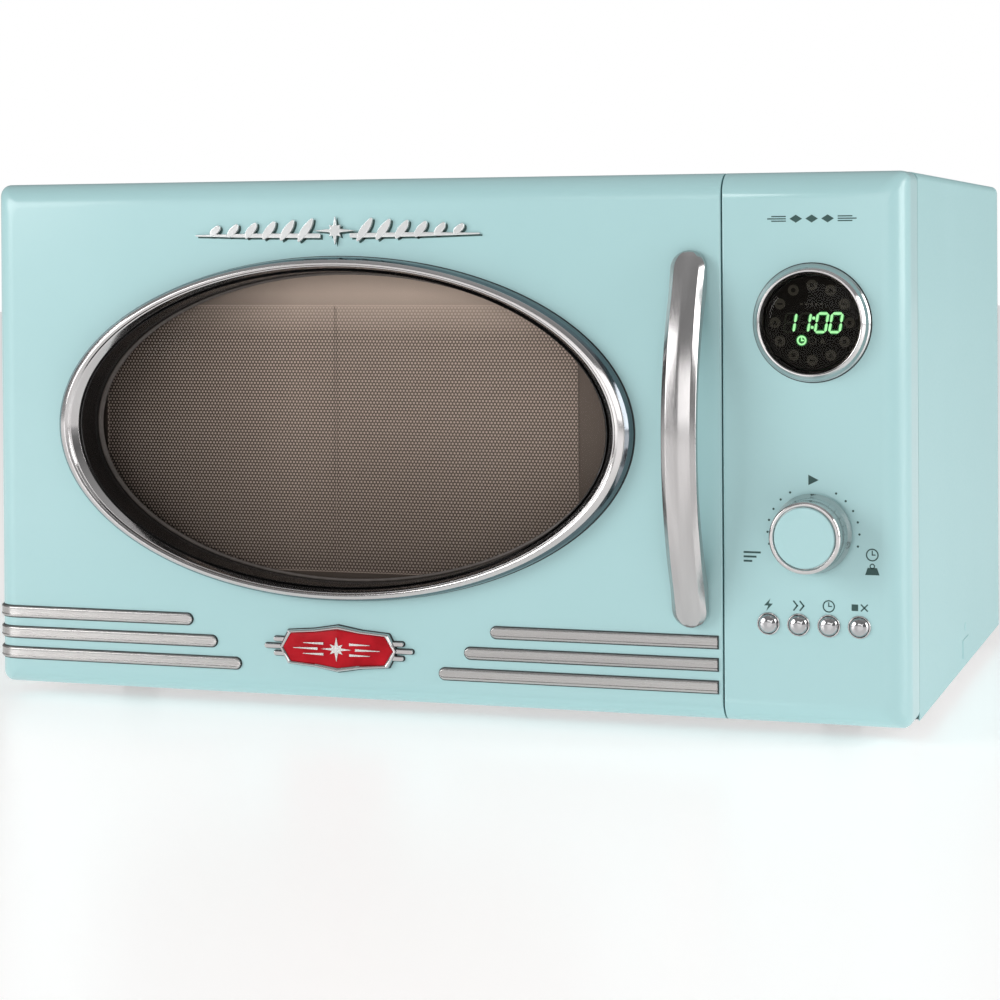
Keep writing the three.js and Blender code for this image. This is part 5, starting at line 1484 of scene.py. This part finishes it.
def make_prints():
    f = FACE_Y
    sheet = PrintedSheet(f - 0.07, f - 0.005).about(CONTROL_X, TOP_Z - 22.4)
    for dx in (-7.6, 0, 7.6):
        sheet.shape([(dx - 3.0, 0), (dx, -1.9), (dx + 3.0, 0), (dx, 1.9)])
    for side in (-1, 1):
        for row, reach in ((1.1, 19.4), (0, 21.4), (-1.1, 19.4)):
            sheet.bar(*sorted((side * 12.4, side * reach)), row - 0.28, row + 0.28)
    sheet.about(CONTROL_X, KNOB_Z + 25.2, 1.3)  # start
    sheet.shape([(-1.7, -1.9), (2.1, 0), (-1.7, 1.9)])
    sheet.about(CONTROL_X - 29.5, KNOB_Z - 12.4, 1.3)  # menu lines
    for k in range(3):
        sheet.bar(-3.2, 3.2 - 1.6 * k, 1.5 - 1.6 * k, 2.2 - 1.6 * k)
    sheet.about(CONTROL_X + 28.0, KNOB_Z - 12.6, 1.3)  # time over weight
    sheet.clock(2.4, 2.1, 0.45, 1.4, 1.0, 0.4)
    sheet.shape([(-2.6, -4.9), (2.6, -4.9), (1.7, -2.3), (-1.7, -2.3)])
    sheet.ring(0, -1.7, 0.8, 0.4, 14)
    bolt, ahead, timer, stop = (middle(box)[0] for box in BUTTON_BOXES)
    above = BUTTON_BOXES[0][5] + 3.0
    sheet.about(bolt, above, 1.4)
    sheet.shape([(0.7, 2.1), (-1.5, -0.3), (-0.1, -0.3), (-0.7, -2.1), (1.5, 0.4), (0.1, 0.4)])
    sheet.about(ahead, above, 1.4)
    for dx in (-1.6, 0.6):
        for dz in (-1.5, 1.5):
            sheet.line((dx, dz), (dx + 1.2, 0), 0.5)
    sheet.about(timer, above, 1.4)
    sheet.clock(0.2, 1.9, 0.42, 1.2, 0.9, 0.36)
    sheet.about(stop, above, 1.4)
    sheet.bar(-2.6, -0.4, -1.0, 1.2)
    sheet.line((0.7, -0.9), (2.7, 1.1), 0.45)
    sheet.line((0.7, 1.1), (2.7, -0.9), 0.45)
    fit(sheet.make("panel_pictograms", PRINT_AND_SHADOW_GREEN), "case", "dark_plastic")
    turns = [math.pi / 2 + side * SCALE_STEP * k for k in range(2, 8) for side in (-1, 1)]
    spots = [(CONTROL_X + SCALE_R * math.cos(t), f - 0.035, KNOB_Z + SCALE_R * math.sin(t)) for t in turns]
    dots = DOTS.grow("knob_scale_dots", spots, PRINT_AND_SHADOW_GREEN, Radius=0.55 * MM, Thickness=0.06 * MM)
    shade(dots, 40, weighted=False)
    fit(dots, "case", "dark_plastic")


make_display()
make_knob()
make_buttons()
make_prints()

# ---- Case --------------------------------------------------------------------------------------


SHEET = 0.6
TAB_Y = CASE_Y0 + 165


def make_wrap():
    """The painted sheet folded over the top and both sides."""
    r = CASE_CORNER

    def path(grow):
        points = [(CASE_X0 + grow, BOTTOM_Z)]
        for cx, start in ((CASE_X0 + r, 180), (CASE_X1 - r, 90)):
            for k in range(13):
                turn = math.radians(start - 90 * k / 12)
                points.append((cx + (r - grow) * math.cos(turn), TOP_Z - r + (r - grow) * math.sin(turn)))
        points.append((CASE_X1 - grow, BOTTOM_Z))
        return points

    outline = path(0) + path(SHEET)[::-1]
    count = len(outline)
    verts = [(x, y, z) for y in (CASE_Y0, CASE_Y1) for x, z in outline]
    faces = skin(2, count)
    for k in range(count // 2 - 1):
        quad = (k, k + 1, count - 2 - k, count - 1 - k)
        faces += [quad, tuple(count + i for i in reversed(quad))]
    wrap = add_piece("case_wrap", verts, faces, FINISH["enamel_case"], 30)
    fit(wrap, "case", "enamel_case", "cabinet_wrap")
    low = BOTTOM_Z
    verts, faces = box_mesh(CASE_X1 - 0.2, CASE_X1 + 0.4, TAB_Y - 11, TAB_Y + 11, low + 5, low + 15)
    tab = add_piece("side_lance_tab", verts, faces, FINISH["enamel_case"], bevel=0.3)
    steps = 24
    verts = [
        (CASE_X1 + out, TAB_Y + radius * c, low + 21 + radius * s)
        for radius, out in ((2.4, -0.1), (2.3, 0.18), (1.5, 0.36)) for c, s in circle(steps)
    ]
    faces = [tuple(range(steps)), tuple(range(2 * steps, 3 * steps))] + skin(3, steps)
    dimple = add_piece("side_dimple", verts, faces, FINISH["enamel_case"], weighted=False)
    fit(join_pieces("side_marks", [tab, dimple]), "case", "enamel_case")


def make_back():
    back = copy_of("back_panel", "rear_panel", FINISH["galvanised"], 0.15)
    fit(back, "case", "galvanised", "back_panel")
    x0, x1, _, y1, z0, z1 = limits("back_panel")
    spots = [(x, y1 + 0.45, z) for x in (x0 + 9, (x0 + x1) / 2, x1 - 9) for z in (z0 + 12, z1 - 12)]
    screws = SCREWS.grow("rear_screws", spots, FINISH["galvanised"], Radius=3.4 * MM, Height=1.5 * MM,
                         Facing=(-math.pi / 2, 0, 0))
    shade(screws, 30, weighted=False)
    fit(screws, "case", "galvanised")


make_wrap()
make_back()

# ---- Oven and works ----------------------------------------------------------------------------


def make_tray():
    x0, x1, y0, y1, z0, z1 = limits("glass_tray")
    cx, cy, r = (x0 + x1) / 2, (y0 + y1) / 2, (x1 - x0) / 2
    flat = r - 14
    profile = eased([
        (0, z0), (flat, z0, 3), (r - 4, z0 + 5, 5), (r - 0.4, z1 - 0.8, 1.5), (r - 1.6, z1, 1.0),
        (r - 3, z1 - 0.7, 0.8), (r - 7, z0 + 8, 4), (flat - 1, z0 + 4, 3), (flat * 0.62, z0 + 4, 1),
        (flat * 0.6, z0 + 4.5, 0.6), (flat * 0.57, z0 + 4, 0.6), (0, z0 + 4),
    ])
    steps = 160
    verts = [(cx + radius * c, cy + radius * s, z) for radius, z in profile for c, s in circle(steps)]
    tray = add_piece("turntable_tray", verts, skin(len(profile), steps), TRAY_GLASS, 28, weighted=False)
    fit(tray, "tray", "clear_glass", "glass_tray")


COPIES = (  # CAD piece, its finished copy, finish, edge rounding
    ("oven_cavity", "oven_box", "oven_liner", 0.3),
    ("base_plate", "base_sheet", "galvanised", 0.15),
    ("cord_gland", "cord_grommet", "rubber", 0.4),
    *((f"foot_{spot}", f"foot_pad_{spot}", "rubber", 0.4)
      for spot in ("front_left", "front_right", "back_left", "back_right")),
    ("waveguide_cover", "mica_cover", "mica", 0.2),
    ("turntable_motor", "drive_motor", "galvanised", 0.4),
    ("turntable_coupler", "drive_coupler", "white_plastic", 0.5),
    ("roller_ring", "roller_carrier", "white_plastic", 0.5),
    *((f"roller_{i}", f"carrier_wheel_{i}", "white_plastic", 0.4) for i in (1, 2, 3)),
    ("magnetron", "magnetron_body", "cooling_aluminium", 0.3),
    ("transformer", "transformer_core", "core_iron", 0.5),
    ("capacitor", "capacitor_can", "cooling_aluminium", 0.5),
    ("fan_motor", "fan_frame", "galvanised", 0.3),
    ("fan_blade", "fan_wheel", "dark_plastic", 0.2),
    ("display_module", "display_block", "dark_plastic", 0.4),
    ("control_board", "circuit_card", "circuit_board", 0.15),
    ("encoder_body", "encoder_can", "galvanised", 0.3),
    ("encoder_plunger", "encoder_follower", "dark_plastic", 0.2),
    ("encoder_shaft", "encoder_spindle", "galvanised", 0.3),
    ("button_switches", "tact_switches", "dark_plastic", 0.3),
    *((f"handle_screw_{end}", f"handle_bolt_{end}", "galvanised", 0.2) for end in ("upper", "lower")),
    ("latch_slide", "latch_hooks", "white_plastic", 0.4),
    ("latch_board", "latch_bracket", "white_plastic", 0.4),
    *((f"hinge_{end}", f"hinge_arm_{end}", "galvanised", 0.25) for end in ("upper", "lower")),
)


def make_works():
    """The inner pieces, each riding on the body that the record gives its CAD piece."""
    bodies = frame["record"]["behaviour"]["bodies"]
    body_of_node = {node: body for body, nodes in bodies.items() for node in nodes}
    for node, name, slot, bevel in COPIES:
        fit(copy_of(node, name, FINISH[slot], bevel), body_of_node[node], slot, node)
    lamp = copy_of("cavity_lamp", "oven_lamp", LAMP_GLASS, 0.3)
    fit(lamp, "case", "clear_glass", "cavity_lamp")


make_tray()
make_works()
